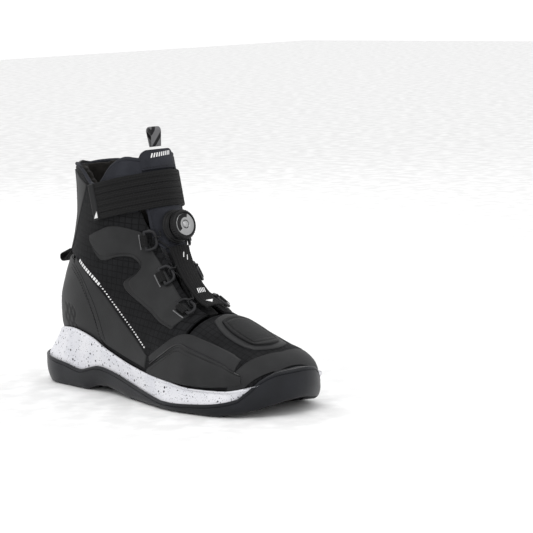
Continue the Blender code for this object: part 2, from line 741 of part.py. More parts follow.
def build_dial(looks):
    seat, axis = dial_frame()
    base = seat + axis * (1.9 + GAP)
    turned("dial_base", looks["matte_black"],
           [(0, 3.6), (3.2, 3.6), (3.2, 1.9), (10.2, 1.9), (10.2, 4.8), (11.6, 4.8), (13.0, 1.2),
            (13.4, 0), (0, 0)], base, axis)
    turned("dial_spool", looks["matte_black"],
           [(3.7, 4.6), (9.4, 4.6), (9.4, 4.2), (8.0, 3.9), (8.0, 2.9), (9.4, 2.6), (9.4, 2.25),
            (3.7, 2.25), (3.7, 4.6)], base, axis)
    turned("dial_ratchet_ring", looks["matte_black"],
           [(4.3, 7.4), (9.9, 7.4), (9.9, 5.2), (4.3, 5.2), (4.3, 7.4)], base, axis, 40)
    turned("dial_knob", looks["gloss_black"],
           [(1.8, 11.9), (3.4, 11.9), (3.4, 13.4), (8.2, 13.7), (10.8, 13.1), (12.0, 11.8), (12.4, 9.8),
            (12.4, 7.2), (11.8, 6.7), (10.6, 6.7), (10.6, 7.9), (1.8, 7.9), (1.8, 11.9)], base, axis, 48)
    turned("dial_axle_screw", looks["steel"],
           [(0, 13.2), (3.0, 13.2), (3.0, 12.2), (1.4, 12.2), (1.4, 4.0), (0, 4.0)], base, axis, 24)


def tangent_frame(side, s, y):
    """Point, normal, upward and outboard directions on the eyestay."""
    p = front_point(s, side * y)
    up = (front_point(s + 0.01, side * y) - front_point(s - 0.01, side * y)).normalized()
    out = front_point(s, side * (y + 1.0)) - p
    out = (out - up * out.dot(up)).normalized()
    normal = out.cross(up) if side == MEDIAL else up.cross(out)
    if normal.x + normal.z < 0:
        normal = -normal
    return p, normal.normalized(), up, out


GUIDE_SPOTS = ((0.718, 17.5), (0.572, 13.8), (0.43, 16.5))   # section and distance from the middle
GUIDE_LIFT = 3.7


def build_guides(looks):
    """Lace guides: a D-shaped ring held to the eyestay by a folded webbing tab."""
    for side, word in ((LATERAL, "lateral"), (MEDIAL, "medial")):
        for number, (s, y) in enumerate(GUIDE_SPOTS, 1):
            p, n, up, out = tangent_frame(side, s, y)
            ring_points = []
            for u, v in ((-4.6, 3.2), (-4.6, -3.2), (-3.0, -6.2), (0.2, -7.4), (3.9, -7.4), (4.6, -6.6),
                         (4.6, 6.6), (3.9, 7.4), (0.2, 7.4), (-3.0, 6.2)):
                ring_points.append(p + out * u + up * v + n * GUIDE_LIFT)
            swept(f"lace_guide_{word}_{number}", looks["guide_plastic"], ring_points, 1.25, 2, cyclic=True)
            profile = []
            for k in range(9):
                turn = math.pi * (0.5 + k / 8)
                profile.append((4.6 + 1.95 * math.cos(turn), GUIDE_LIFT + 1.95 * math.sin(turn)))
            profile = [(8.6, GUIDE_LIFT + 1.2)] + profile + [(8.6, GUIDE_LIFT - 1.95)]
            grid = []
            for v in (-4.6, 4.6):
                row = []
                for i, (u, h) in enumerate(profile):
                    a = profile[max(i - 1, 0)]
                    b = profile[min(i + 1, len(profile) - 1)]
                    du, dh = b[0] - a[0], b[1] - a[1]
                    size = math.hypot(du, dh)
                    outward = (out * dh / size - n * du / size)
                    row.append((p + out * u + n * h + up * v, outward))
                grid.append(row)
            panel(f"guide_tab_{word}_{number}", looks["webbing"], grid, -0.3, 0.3)


def lace_route():
    """The lace from the dial round every guide and back, crossing under the centre strip."""
    def over(side, index, u, v, lift):
        s, y = GUIDE_SPOTS[index]
        p, n, up, out = tangent_frame(side, s, y)
        return p + out * u + up * v + n * lift

    def middle(s, y, lift):
        p, n, _, _ = tangent_frame(MEDIAL, s, 0.05)
        return front_point(s, y) + n * lift

    low, high = 1.1, 2.5
    over_bar = GUIDE_LIFT + 1.25 + 0.3 + LACE_RADIUS
    under_bar = 1.45

    def hook(side, index, enter_up):
        """Round the guide's inner bar: in over it and out under it."""
        v = 2.0 if enter_up else -2.0
        return [over(side, index, -8.5, v, over_bar - 1.6), over(side, index, -6.2, v, over_bar - 0.2),
                over(side, index, -4.6, v, over_bar), over(side, index, -2.7, v * 0.8, over_bar - 0.9),
                over(side, index, -2.2, 0.0, GUIDE_LIFT), over(side, index, -2.9, -v * 0.8, under_bar),
                over(side, index, -4.6, -v, under_bar), over(side, index, -7.0, -v, under_bar + 0.2)]

    def half(side, lift):
        other = -side
        first = [middle(0.742, side * 15.0, 4.6), middle(0.736, side * 14.6, 5.2)]
        first += hook(side, 0, True)
        cross_a = [middle(0.668, side * 9.5, 3.4), middle(0.640, side * 6.0, 2.1), middle(0.625, 0.0, lift),
                   middle(0.612, other * 4.0, lift - 0.3)]
        second = hook(other, 1, True)
        cross_b = [middle(0.522, other * 5.0, 1.9), middle(0.505, 0.0, lift), middle(0.488, side * 5.0, lift)]
        return first + cross_a + second + cross_b + hook(side, 2, True)

    there = half(LATERAL, low)
    back = half(MEDIAL, high)
    link = [middle(0.424, -7.0, 1.8), middle(0.421, 0.0, 1.5), middle(0.424, 7.0, 1.8)]
    return there + link + back[::-1]


def smooth_through(points, between):
    """Points of a Catmull-Rom curve through a route."""
    found = []
    for i in range(len(points) - 1):
        a = points[max(i - 1, 0)]
        b, c = points[i], points[i + 1]
        d = points[min(i + 2, len(points) - 1)]
        for k in range(between):
            t = k / between
            found.append(0.5 * ((2 * b) + (c - a) * t + (2 * a - 5 * b + 4 * c - d) * t * t
                                + (3 * b - a - 3 * c + d) * t**3))
    return found + [points[-1]]


def build_lace_and_strip(looks):
    swept("closure_lace", looks["lace"], smooth_through(lace_route(), 2), LACE_RADIUS, 2)
    strip = smooth_curve((0.375, 6.5), (0.50, 5.5), (0.66, 6.0))
    panel("centre_strip", looks["strip_webbing"], front_patch(0.375, 0.66, 12, strip, 5), 4.2, 5.6)


# Pull loops and overlays -----------------------------------------------------
def pull_loop(name, look, foot, outward, spread, across, height, width):
    """A standing loop of webbing: two legs from its foot, joined by a round top."""
    radius, foot_half, foot_rise = 4.4, 1.2, 0.5

    def leg(way, share):
        aside = foot_half + (radius - foot_half) * share
        return foot + spread * way * aside + outward * (foot_rise + (height - radius - foot_rise) * share)

    path = [leg(-1, k / 2) for k in range(3)]
    normals = [-spread] * 3
    for k in range(1, 8):
        turn = math.pi * k / 8
        bend = -spread * math.cos(turn) + outward * math.sin(turn)
        path.append(foot + outward * (height - radius) + bend * radius)
        normals.append(bend)
    path += [leg(1, k / 2) for k in (2, 1, 0)]
    normals += [spread] * 3
    return ribbon(name, look, path, normals, across, width, 1.1)


def tongue_pull_foot():
    return front_point(1.0, 0.0) + Vector((-3.6, 0, 0.8))


def heel_pull_foot():
    hit, normal = around(0.0, 110.5)
    return hit + normal * 2.6


def build_pulls(looks):
    pull_loop("tongue_pull", looks["striped_webbing"], tongue_pull_foot(), Vector((-0.12, 0, 0.993)),
              Vector((0.993, 0, 0.12)), Vector((0, 1, 0)), 16.5, 10.0)
    outward = Vector((-0.86, 0, -0.51)).normalized()
    pull_loop("heel_pull", looks["webbing"], heel_pull_foot(), outward,
              Vector((-0.51, 0, 0.86)).normalized(), Vector((0, 1, 0)), 17.0, 10.0)
    strip = [[from_behind(y, 117 + 67 * i / 9) for y in (-6.5, 0, 6.5)] for i in range(10)]
    panel("heel_strap", looks["webbing"], strip, 0.8, 2.4)


def flank_patch(side, low_edge, high_edge, columns, rows):
    """A grid between two side-view polylines of (x, z) points."""
    low = [np.array(p, float) for p in low_edge]
    high = [np.array(p, float) for p in high_edge]

    def along(line, t):
        sizes = [0.0]
        for a, b in zip(line, line[1:]):
            sizes.append(sizes[-1] + float(np.linalg.norm(b - a)))
        at = t * sizes[-1]
        return [np.interp(at, sizes, [p[k] for p in line]) for k in (0, 1)]

    grid = []
    for i in range(rows):
        share = i / (rows - 1)
        row = []
        for j in range(columns):
            t = j / (columns - 1)
            a, b = along(low, t), along(high, t)
            row.append(flank(side, a[0] + (b[0] - a[0]) * share, a[1] + (b[1] - a[1]) * share))
        grid.append(row)
    return grid


def build_overlays(looks):
    """Moulded and bonded pieces on the outside of the shell."""
    for side, word in ((LATERAL, "lateral"), (MEDIAL, "medial")):
        low = [(-58, 129), (-39, 110), (-15, 111), (-20, 97), (8, 79), (34, 67)]
        high = [(-50, 136), (-36, 134), (-19, 122), (-15, 103), (6, 86), (29, 74)]
        panel("ankle_overlay_" + word, looks["microfibre"], flank_patch(side, low, high, 14, 4), 0.9, 1.9)

    def above_bumper(x, side):
        return max(outsole_rim[side](x + 7), midsole_rim[side](x)) + 2.2

    cap = [toe_row(s, above_bumper) for s in (0.088, 0.11, 0.13, 0.15, 0.17, 0.188)]
    panel("toe_cap", looks["microfibre"], cap, 0.7, 1.8)
    low = [(20, 28), (45, 26), (80, 24), (104, 27)]
    high = [(37, 45), (58, 54), (82, 48), (104, 38)]
    panel("toe_panel_lateral", looks["microfibre"], flank_patch(LATERAL, low, high, 9, 4), 0.6, 1.7)
    shift = []
    for s, half, shift_y in ((0.215, 15, 4), (0.24, 20, 2), (0.27, 21, 1), (0.30, 19, 0), (0.325, 14, 0)):
        row = []
        for j in range(7):
            p = front_point(s, shift_y + half * (-1 + j / 3))
            row.append(cast(p, Vector((-0.35, 0, -1))))
        shift.append(row)
    panel("shift_pad", looks["microfibre"], shift, 0.6, 3.2)
    low = [(-120, 52), (-104, 56), (-88, 57)]
    high = [(-124, 84), (-112, 88), (-101, 84)]
    panel("heel_badge_panel", looks["gloss_black"], flank_patch(MEDIAL, low, high, 6, 4), 0.5, 1.4)


# Joints ------------------------------------------------------------------------
def hang_on(name, place, pieces):
    """Gives moving pieces an empty on their joint's axis for a parent, and leaves them in place."""
    pivot = bpy.data.objects.new(name, None)
    pivot.location = place * MM
    PARTS.objects.link(pivot)
    for piece in pieces:
        moving = PARTS.objects[piece]
        moving.parent = pivot
        moving.matrix_parent_inverse = Matrix.Translation(-place * MM)


def place_pivots():
    hang_on("strap_hinge", strap_joint(STRAP_HINGE_ANGLE), ["strap_front"])
    hang_on("strap_fold", strap_joint(STRAP_FOLD_ANGLE), ["strap_end", "strap_tab"])
    hang_on("tongue_root", TONGUE_ROOT, ["tongue_pad", "tongue_top_patch", "dial_shield", "centre_strip",
                                         "dial_base"])
    hang_on("tongue_pull_foot", tongue_pull_foot(), ["tongue_pull"])
    hang_on("heel_pull_foot", heel_pull_foot(), ["heel_pull"])
    hang_on("footbed_toe", FOOTBED_TOE, ["footbed"])


def main():
    global PARTS
    remove_old_objects()
    PARTS = bpy.data.collections.new("riding_ankle_boot")
    bpy.context.scene.collection.children.link(PARTS)
    looks = {
        "sole_rubber": material("sole_rubber", (0.045, 0.048, 0.058), 0.5),
        "midsole_foam": material("midsole_foam", (0.80, 0.80, 0.82), 0.65),
        "board": material("board", (0.35, 0.3, 0.24), 0.9),
        "steel": material("steel", (0.6, 0.6, 0.62), 0.35, 1.0),
        "footbed_foam": material("footbed_foam", (0.06, 0.06, 0.065), 0.9),
        "ripstop": material("ripstop", (0.012, 0.012, 0.014), 0.75),
        "microfibre": material("microfibre", (0.028, 0.028, 0.03), 0.6),
        "stiffener": material("stiffener", (0.7, 0.7, 0.66), 0.6),
        "guard_foam": material("guard_foam", (0.25, 0.25, 0.27), 0.85),
        "lining": material("lining", (0.022, 0.019, 0.017), 0.95),
        "softshell": material("softshell", (0.018, 0.02, 0.03), 0.7),
        "webbing": material("webbing", (0.012, 0.012, 0.013), 0.8),
        "striped_webbing": material("striped_webbing", (0.2, 0.2, 0.21), 0.8),
        "strip_webbing": material("strip_webbing", (0.016, 0.016, 0.018), 0.7),
        "hook_and_loop": material("hook_and_loop", (0.01, 0.01, 0.011), 0.95),
        "gloss_black": material("gloss_black", (0.01, 0.01, 0.011), 0.2),
        "matte_black": material("matte_black", (0.015, 0.015, 0.016), 0.45),
        "guide_plastic": material("guide_plastic", (0.03, 0.03, 0.033), 0.35),
        "lace": material("lace", (0.01, 0.01, 0.01), 0.4),
    }
    build_sole(looks)
    build_inside_of_sole(looks)
    build_vamp(looks)
    build_quarters(looks)
    build_heel(looks)
    build_collar(looks)
    build_tongue(looks)
    build_strap(looks)
    build_dial(looks)
    build_guides(looks)
    build_lace_and_strip(looks)
    build_pulls(looks)
    build_overlays(looks)
    place_pivots()


main()
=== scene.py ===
"""A riding ankle boot for the right foot: every piece that can be seen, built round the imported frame.

+X points to the toe, +Y to the inner side of the foot, +Z up.  Lengths are millimetres until a
piece is finished, when its mesh is brought to metres.
"""

import math
import random

import bmesh
import bpy
import numpy as np
from mathutils import Matrix, Vector
from mathutils.bvhtree import BVHTree


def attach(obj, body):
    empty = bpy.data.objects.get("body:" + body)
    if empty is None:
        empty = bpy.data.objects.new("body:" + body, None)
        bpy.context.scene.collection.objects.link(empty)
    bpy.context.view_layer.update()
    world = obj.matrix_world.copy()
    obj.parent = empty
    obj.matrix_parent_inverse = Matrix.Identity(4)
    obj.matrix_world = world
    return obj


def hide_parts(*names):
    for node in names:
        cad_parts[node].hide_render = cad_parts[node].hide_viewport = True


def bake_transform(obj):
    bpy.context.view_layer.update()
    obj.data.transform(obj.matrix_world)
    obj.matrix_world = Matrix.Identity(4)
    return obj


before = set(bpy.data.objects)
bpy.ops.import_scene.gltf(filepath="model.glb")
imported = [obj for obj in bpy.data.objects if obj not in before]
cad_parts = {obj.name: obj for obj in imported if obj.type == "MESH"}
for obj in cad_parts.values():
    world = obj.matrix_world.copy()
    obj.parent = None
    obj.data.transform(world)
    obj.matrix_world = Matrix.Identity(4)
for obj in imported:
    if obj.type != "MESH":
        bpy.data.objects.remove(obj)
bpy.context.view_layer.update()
scene = bpy.context.scene

# ---- The view --------------------------------------------------------------------------------
# A long lens a little above the floor looks at the outer side of the boot and its toe.  The boot
# stands left of the middle of the view, where the nearer boot of a pair would stand.
AIM = Vector((-0.0045, 0.0, 0.090))
TURN, RISE, ROLL = math.radians(49.66), math.radians(8.24), math.radians(2.17)
DISTANCE, LENS = 1.8, 147.141
AIM_ASIDE, AIM_BELOW = -0.045398, -0.008584
back = Vector((math.sin(TURN) * math.cos(RISE), -math.cos(TURN) * math.cos(RISE), math.sin(RISE)))
right = Vector((math.cos(TURN), math.sin(TURN), 0))
up = back.cross(right)
rolled_right = right * math.cos(ROLL) - up * math.sin(ROLL)
rolled_up = right * math.sin(ROLL) + up * math.cos(ROLL)
facing = Matrix((rolled_right, rolled_up, back)).transposed()
off_centre = Vector((AIM_ASIDE, AIM_BELOW, -1)).normalized().rotation_difference(Vector((0, 0, -1)))
camera = bpy.data.objects.new("camera", bpy.data.cameras.new("camera"))
scene.collection.objects.link(camera)
camera.data.lens = LENS
camera.data.clip_start, camera.data.clip_end = 0.1, 20
camera.rotation_mode = "QUATERNION"
camera.rotation_quaternion = (facing @ off_centre.to_matrix()).to_quaternion()
camera.location = AIM + back * DISTANCE
scene.camera = camera

# ---- Outsole -----------------------------------------------------------------------------------
# One moulded cup of dark blue-grey rubber.  It rises into wings at the heel and the toe, is notched
# at the arch, and its tread is cut across by narrow grooves.
MM = 0.001
LATERAL, MEDIAL = -1, 1


# A finish is a material built from nodes; a Wire lets sums be written on what varies in it.
class Wire:
    """A number that varies over a surface."""

    def __init__(self, finish, socket):
        self.finish, self.socket = finish, socket

    def sum(self, operation, *values, clamp=False):
        return self.finish.node("ShaderNodeMath", {"operation": operation, "use_clamp": clamp}, values)

    def __add__(self, other):
        return self.sum("ADD", self, other)

    __radd__ = __add__

    def __mul__(self, other):
        return self.sum("MULTIPLY", self, other)

    __rmul__ = __mul__

    def __sub__(self, other):
        return self.sum("SUBTRACT", self, other)

    def __rsub__(self, other):
        return self.sum("SUBTRACT", other, self)

    def __lt__(self, other):
        return self.sum("LESS_THAN", self, other)

    def __gt__(self, other):
        return self.sum("GREATER_THAN", self, other)

    def wave(self):
        return self.sum("SINE", self)

    def between(self, low, high):
        """0 below low, 1 above high, smooth in between."""
        return self.finish.node("ShaderNodeMapRange", {"interpolation_type": "SMOOTHSTEP"},
                                {"Value": self, "From Min": low, "From Max": high})

    def away(self, period):
        """How far the value is from the nearest multiple of the period."""
        return self.sum("PINGPONG", self, period / 2)


class Finish:
    """One material, with its shader's fixed values given by name."""

    def __init__(self, name, colour, roughness, metallic=0.0, **fixed):
        self.material = bpy.data.materials.new(name)
        self.material.use_nodes = True
        self.tree = self.material.node_tree
        self.shader = self.tree.nodes["Principled BSDF"]
        self.put("Base Color", (*colour, 1))
        self.put("Roughness", roughness)
        self.put("Metallic", metallic)
        self.put("Specular IOR Level", 0.18)
        for key, value in fixed.items():
            self.put(key.replace("_", " "), value)

    def link(self, value, socket):
        if isinstance(value, Wire):
            self.tree.links.new(value.socket, socket)
        else:
            socket.default_value = value

    def put(self, name, value):
        self.link(value, self.shader.inputs[name])

    def node(self, kind, settings, values, out=0):
        made = self.tree.nodes.new(kind)
        for key, value in settings.items():
            if key == "stops":
                while len(made.color_ramp.elements) < len(value):
                    made.color_ramp.elements.new(0.5)
                for spot, (place, shade) in zip(made.color_ramp.elements, value):
                    spot.position, spot.color = place, (*shade, 1)
            else:
                setattr(made, key, value)
        pairs = values.items() if isinstance(values, dict) else enumerate(values)
        for key, value in pairs:
            self.link(value, made.inputs[key])
        return Wire(self, made.outputs[out])

    def place(self, turn=0.0):
        """Object coordinates in metres."""
        found = self.node("ShaderNodeTexCoord", {}, {}, "Object")
        return self.node("ShaderNodeMapping", {}, {"Vector": found, "Rotation": (0, 0, turn)}) if turn else found

    def cloth(self, turn=0.0):
        """The two directions along the cloth, in metres, turned in its plane."""
        found = self.node("ShaderNodeUVMap", {"uv_map": "cloth"}, {})
        turned = self.node("ShaderNodeMapping", {}, {"Vector": found, "Rotation": (0, 0, turn)})
        parts = [self.node("ShaderNodeSeparateXYZ", {}, [turned], k) for k in (0, 1)]
        return turned, parts[0], parts[1]

    def noise(self, place, scale, detail=2.0, out=0):
        return self.node("ShaderNodeTexNoise", {}, {"Vector": place, "Scale": scale, "Detail": detail}, out)

    def blend(self, share, one, other):
        """One colour where share is 0, the other where it is 1."""
        return self.node("ShaderNodeMix", {"data_type": "RGBA"},
                         {0: share, 6: (*one, 1) if isinstance(one, tuple) else one,
                          7: (*other, 1) if isinstance(other, tuple) else other}, 2)

    def bump(self, height, depth, strength=1.0):
        self.put("Normal", self.node("ShaderNodeBump", {},
                                     {"Height": height, "Distance": depth, "Strength": strength}))


def shade(colour, factor):
    return tuple(c * factor for c in colour)


def grained(name, colour, roughness, grain=1400, depth=0.0002, worn=1.25, **fixed):
    """Moulded or coated stuff: cloudy colour, fine grain, and a slightly uneven gloss."""
    made = Finish(name, colour, roughness, **fixed)
    place = made.place()
    cloud = made.noise(place, 45, 3)
    made.put("Base Color", made.blend(cloud.between(0.35, 0.7), shade(colour, 0.88), shade(colour, worn)))
    fine = made.noise(place, grain, 2)
    made.put("Roughness", roughness - 0.06 + cloud * 0.06 + fine * 0.08)
    made.bump(fine, depth)
    return made.material


# Every piece lies on one last: the plan and side profiles of the sole, and closed sections that
# fan from the toe round the instep to the collar.
SOLE_HALF_LENGTH, GAP, SHELL, UPPER_TIP_X, TOE_START_X = 147.5, 0.35, 2.6, 142.0, 105.5


def smooth_curve(*knots):
    """A smooth function through (x, value, value, ...) knots: it never overshoots them and is
    flat beyond its ends."""
    table = np.array(knots, float)
    xs, values = table[:, 0], table[:, 1:]
    step = np.diff(xs)[:, None]
    slope = np.diff(values, axis=0) / step
    before, after = slope[:-1], slope[1:]
    same_way = before * after > 0
    total = np.where(same_way, before + after, 1.0)
    tangent = np.vstack([slope[:1], np.where(same_way, 2 * before * after / total, 0.0), slope[-1:]])

    def value_at(x):
        i = int(np.clip(np.searchsorted(xs, x) - 1, 0, len(xs) - 2))
        h = step[i, 0]
        t = float(np.clip((x - xs[i]) / h, 0.0, 1.0))
        found = ((2 * t**3 - 3 * t**2 + 1) * values[i] + (t**3 - 2 * t**2 + t) * h * tangent[i]
                 + (3 * t**2 - 2 * t**3) * values[i + 1] + (t**3 - t**2) * h * tangent[i + 1])
        return float(found[0]) if len(found) == 1 else found

    return value_at


lateral_edge = smooth_curve((-104.5, -37.3), (-74.5, -39), (-39.5, -40), (-4.5, -44.5),
                            (25.5, -50), (55.5, -54), (80.5, -52), (100.5, -46.5))
medial_edge = smooth_curve((-104.5, 33.5), (-74.5, 33), (-39.5, 32.5), (-9.5, 36),
                           (20.5, 43), (50.5, 50), (75.5, 54), (100.5, 51.5))
HEEL_ROUND_X, TOE_ROUND_X, TOE_TIP_Y = -102.5, 83.5, 6.0

ground = smooth_curve((-147.5, 9), (-140.5, 3), (-132.5, 0), (-74.5, 0), (-66.5, 2), (-56.5, 5),
                      (-44.5, 5.5), (-29.5, 3), (-9.5, 0.5), (10, 0), (95, 0), (118, 2.5),
                      (136, 7.5), (147.5, 13))
outsole_rim = {
    LATERAL: smooth_curve((-147.5, 24.5), (-129.5, 23.5), (-99.5, 20), (-78.5, 17), (-64.5, 20),
                          (-52.5, 22.5), (-32.5, 20), (-11.5, 16), (12.5, 11.5), (47.5, 7),
                          (90.5, 9.5), (118, 14.5), (128, 23), (135, 31), (142, 36), (147.5, 37.5)),
    MEDIAL: smooth_curve((-147.5, 24.5), (-129.5, 23.5), (-99.5, 20), (-78.5, 18), (-64.5, 20),
                         (-52.5, 22.5), (-32.5, 20), (-11.5, 16), (17.5, 10.5), (53.5, 8),
                         (95.5, 9), (118, 13), (130, 18), (138, 27), (143, 34), (147.5, 37.5)),
}
midsole_rim = {
    LATERAL: smooth_curve((-147.5, 41), (-139.5, 43), (-119.5, 47), (-91.5, 50), (-74.5, 48),
                          (-59.5, 44.5), (-43.5, 38), (-12.5, 29.5), (17.5, 24.5), (46.5, 21.5),
                          (74.5, 19.5), (105.5, 20), (130, 25), (147.5, 31)),
    MEDIAL: smooth_curve((-147.5, 41), (-139.5, 43), (-119.5, 46.5), (-91.5, 48.5), (-74.5, 45.5),
                         (-39.5, 36), (-5.5, 30), (22.5, 26.5), (55.5, 24.5), (95.5, 24.5),
                         (130, 27), (147.5, 31)),
}


def outline(x):
    """The sole's lateral and medial y at x, rounded at the heel and the toe."""
    inner = min(max(x, HEEL_ROUND_X), TOE_ROUND_X)
    lateral, medial = lateral_edge(inner), medial_edge(inner)
    to_toe = max(0.0, (x - TOE_ROUND_X) / (SOLE_HALF_LENGTH - TOE_ROUND_X))
    to_heel = max(0.0, (HEEL_ROUND_X - x) / (SOLE_HALF_LENGTH + HEEL_ROUND_X))
    width = (max(0.0, 1 - to_toe**2.05) ** (1 / 2.05)) * (max(0.0, 1 - to_heel**2.3) ** (1 / 2.3))
    middle = (lateral + medial) / 2
    middle += to_toe * (TOE_TIP_Y - middle)
    half = (medial - lateral) / 2 * width
    return middle - half, middle + half


SECTIONS = [
    (0.20, 105.5, 54.5, 105.5, 14, 0, 0, 0.34, 3.2, 2.0),
    (0.26, 85.5, 62, 85.5, 13, 0, 0, 0.33, 3.2, 2.0),
    (0.32, 67.5, 69.5, 65.5, 13, 0, 0, 0.32, 3.2, 2.0),
    (0.37, 54.5, 74.5, 45.5, 13, 47, 45, 0.32, 3.2, 2.0),
    (0.42, 44.5, 79.5, 17.5, 14, 44.5, 40, 0.32, 3.2, 2.05),
    (0.47, 35.5, 87, -12.5, 17, 41, 35, 0.33, 3.2, 2.1),
    (0.52, 27, 95.5, -44.5, 22, 38, 32.5, 0.36, 3.1, 2.1),
    (0.57, 20, 104.5, -78.5, 27, 36.5, 32.5, 0.40, 2.7, 2.05),
    (0.61, 15, 112.5, -106, 30, 35.5, 33.5, 0.45, 2.4, 2.0),
    (0.65, 11, 120.5, -126, 35, 35, 34, 0.48, 2.1, 2.0),
    (0.69, 8.5, 128.5, -136, 48, 35, 35, 0.52, 1.95, 2.0),
    (0.73, 6.5, 136.5, -138, 66, 35, 35.5, 0.55, 1.85, 1.95),
    (0.77, 4.5, 145, -133, 85, 35, 36, 0.57, 1.75, 1.95),
    (0.81, 2.5, 154, -124.5, 105, 35, 36, 0.58, 1.65, 1.95),
    (0.85, 0, 163.5, -117, 126, 34.5, 36, 0.58, 1.6, 1.95),
    (0.90, -3, 175, -112.5, 147, 34, 36, 0.58, 1.58, 1.95),
    (0.95, -6.5, 188, -111.5, 169, 34, 36, 0.58, 1.58, 1.95),
    (1.00, -11, 203, -113, 193, 34.5, 36.5, 0.58, 1.6, 1.95),
    (1.05, -13.5, 214, -115, 207, 34.5, 36.5, 0.58, 1.6, 1.95),
]
SIDE_INSET = 5.0              # the upper stands this far inside the sole's outline
TOE_END_S = 0.20
TOE_FLOOR_Z = 24.0            # height of the upper's foremost point


def with_sole_width(row):
    row = list(row)
    if row[5] == 0:
        lateral, medial = outline(row[3])
        row[5], row[6] = -lateral - SIDE_INSET, medial - SIDE_INSET
    return row


section_at = smooth_curve(*[with_sole_width(row) for row in SECTIONS])


def section(s):
    """Front point, back point, half widths and roundness of the upper's section s."""
    values = section_at(max(s, TOE_END_S))
    if s >= TOE_END_S:
        return values
    k = math.cos(s / TOE_END_S * math.pi / 2)
    x = TOE_START_X + (UPPER_TIP_X - TOE_START_X) * k
    wide = (1 - k**2.05) ** (1 / 2.05)
    tall = (1 - k**2.6) ** 0.5
    middle = (values[5] - values[4]) / 2
    half = (values[5] + values[4]) / 2 * wide
    middle += (TOE_TIP_Y - middle) * k
    top = TOE_FLOOR_Z + (values[1] - TOE_FLOOR_Z - 9 * k) * tall
    return np.array([x, top, x, 14 + 6 * k, half - middle, half + middle, *values[6:]])


def upper_point(s, angle):
    """A point of the upper's outer surface.  Angle 0 is under the foot or at the back,
    half a turn is the front; the lateral side comes first."""
    xf, zf, xb, zb, lateral, medial, widest, back, front = section(s)
    c, n = math.cos(angle), math.sin(angle)
    if c > 0:
        along, power = widest * (1 - c ** (2 / back)), back
    else:
        along, power = widest + (1 - widest) * (-c) ** (2 / front), front
    side = math.copysign(abs(n) ** (2 / power), n)
    y = (medial - lateral) / 2 - side * (medial + lateral) / 2
    return Vector((xb + (xf - xb) * along, y, zb + (zf - zb) * along))


def last_surface():
    """The whole outer surface as a tree that rays can be cast on."""
    rows, turn = 420, 300
    points = [upper_point(0.01 + 1.04 * i / (rows - 1), 2 * math.pi * j / turn)
              for i in range(rows) for j in range(turn)]
    faces = [(i * turn + j, (i + 1) * turn + j, (i + 1) * turn + (j + 1) % turn, i * turn + (j + 1) % turn)
             for i in range(rows - 1) for j in range(turn)]
    return BVHTree.FromPolygons(points, faces + [tuple(range(turn))])


SURFACE = last_surface()


def cast(start, direction):
    """Where a ray from outside first meets the last."""
    direction = direction.normalized()
    hit = SURFACE.ray_cast(start - direction * 400, direction)[0]
    return hit if hit is not None else SURFACE.find_nearest(start)[0]


def sealed(mesh, merge=0.0, sort=True):
    """Joins points closer than merge and turns every face of a closed mesh outward."""
    work = bmesh.new()
    work.from_mesh(mesh)
    if merge:
        bmesh.ops.remove_doubles(work, verts=work.verts, dist=merge)
    if sort:
        bmesh.ops.recalc_face_normals(work, faces=work.faces)
    if work.calc_volume(signed=True) < 0:
        bmesh.ops.reverse_faces(work, faces=work.faces)
    work.to_mesh(mesh)
    work.free()
    return mesh


def finished(name, mesh, look, body, stands_for=(), sharp=38):
    """Brings a mesh to metres, gives it its finish, ties it to its body, and hides the CAD nodes it stands for.
    body is a name, or two names and the points where it leaves the one and joins the other; those two names and
    points are not used, and such a piece is tied to no body."""
    mesh.transform(Matrix.Scale(MM, 4))
    mesh.materials.clear()
    mesh.materials.append(look)
    mesh.shade_smooth()
    mesh.set_sharp_from_angle(angle=math.radians(sharp))
    piece = bpy.data.objects.new(name, mesh)
    scene.collection.objects.link(piece)
    if isinstance(body, str):
        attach(piece, body)
    else:
        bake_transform(piece)
    if stands_for:
        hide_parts(*stands_for)
    return piece


rubber = grained("sole_rubber", (0.0056, 0.0062, 0.0086), 0.36, grain=900, depth=0.0001, worn=1.35,
                 Specular_IOR_Level=0.26)


def ring_places():
    """(x, side) round the sole: lateral from heel to toe, then medial from toe to heel."""
    ends = [math.sin(math.radians(a)) for a in (5, 10, 15, 20, 25, 30, 35, 40, 46, 52, 58, 64, 70, 75, 80, 84, 87)]
    heel = [HEEL_ROUND_X - (SOLE_HALF_LENGTH + HEEL_ROUND_X) * e for e in reversed(ends)]
    toe = [TOE_ROUND_X + (SOLE_HALF_LENGTH - TOE_ROUND_X) * e for e in ends]
    stations = heel + list(np.linspace(HEEL_ROUND_X, TOE_ROUND_X, 94)) + toe
    return [(x, LATERAL) for x in stations] + [(x, MEDIAL) for x in stations[::-1]]


PLACES = ring_places()


def outline_ring(inset, height):
    """The sole's outline moved in.  inset and height are functions of x and side, or numbers."""
    def value(given, x, side):
        return given(x, side) if callable(given) else given

    loop = [(x, outline(x)[0 if side == LATERAL else 1], side) for x, side in PLACES]
    moved = []
    for i, (x, y, side) in enumerate(loop):
        after, before = loop[(i + 1) % len(loop)], loop[i - 1]
        along = Vector((after[0] - before[0], after[1] - before[1])).normalized()
        size = value(inset, x, side)
        moved.append(Vector((x - along.y * size, y + along.x * size, value(height, x, side))))
    return moved


def hugging_ring(clearance, height):
    """A ring that keeps a clearance outside the last at the given height."""
    found = []
    for outer, deep in zip(outline_ring(0.0, height), outline_ring(30.0, height)):
        towards = Vector((deep.x - outer.x, deep.y - outer.y, 0)).normalized()
        found.append(cast(outer, towards) - towards * clearance)
    return found


def deeper(one, other):
    base = outline_ring(0.0, 0.0)
    return [p if (p - b).xy.length > (q - b).xy.length else q for p, q, b in zip(one, other, base)]


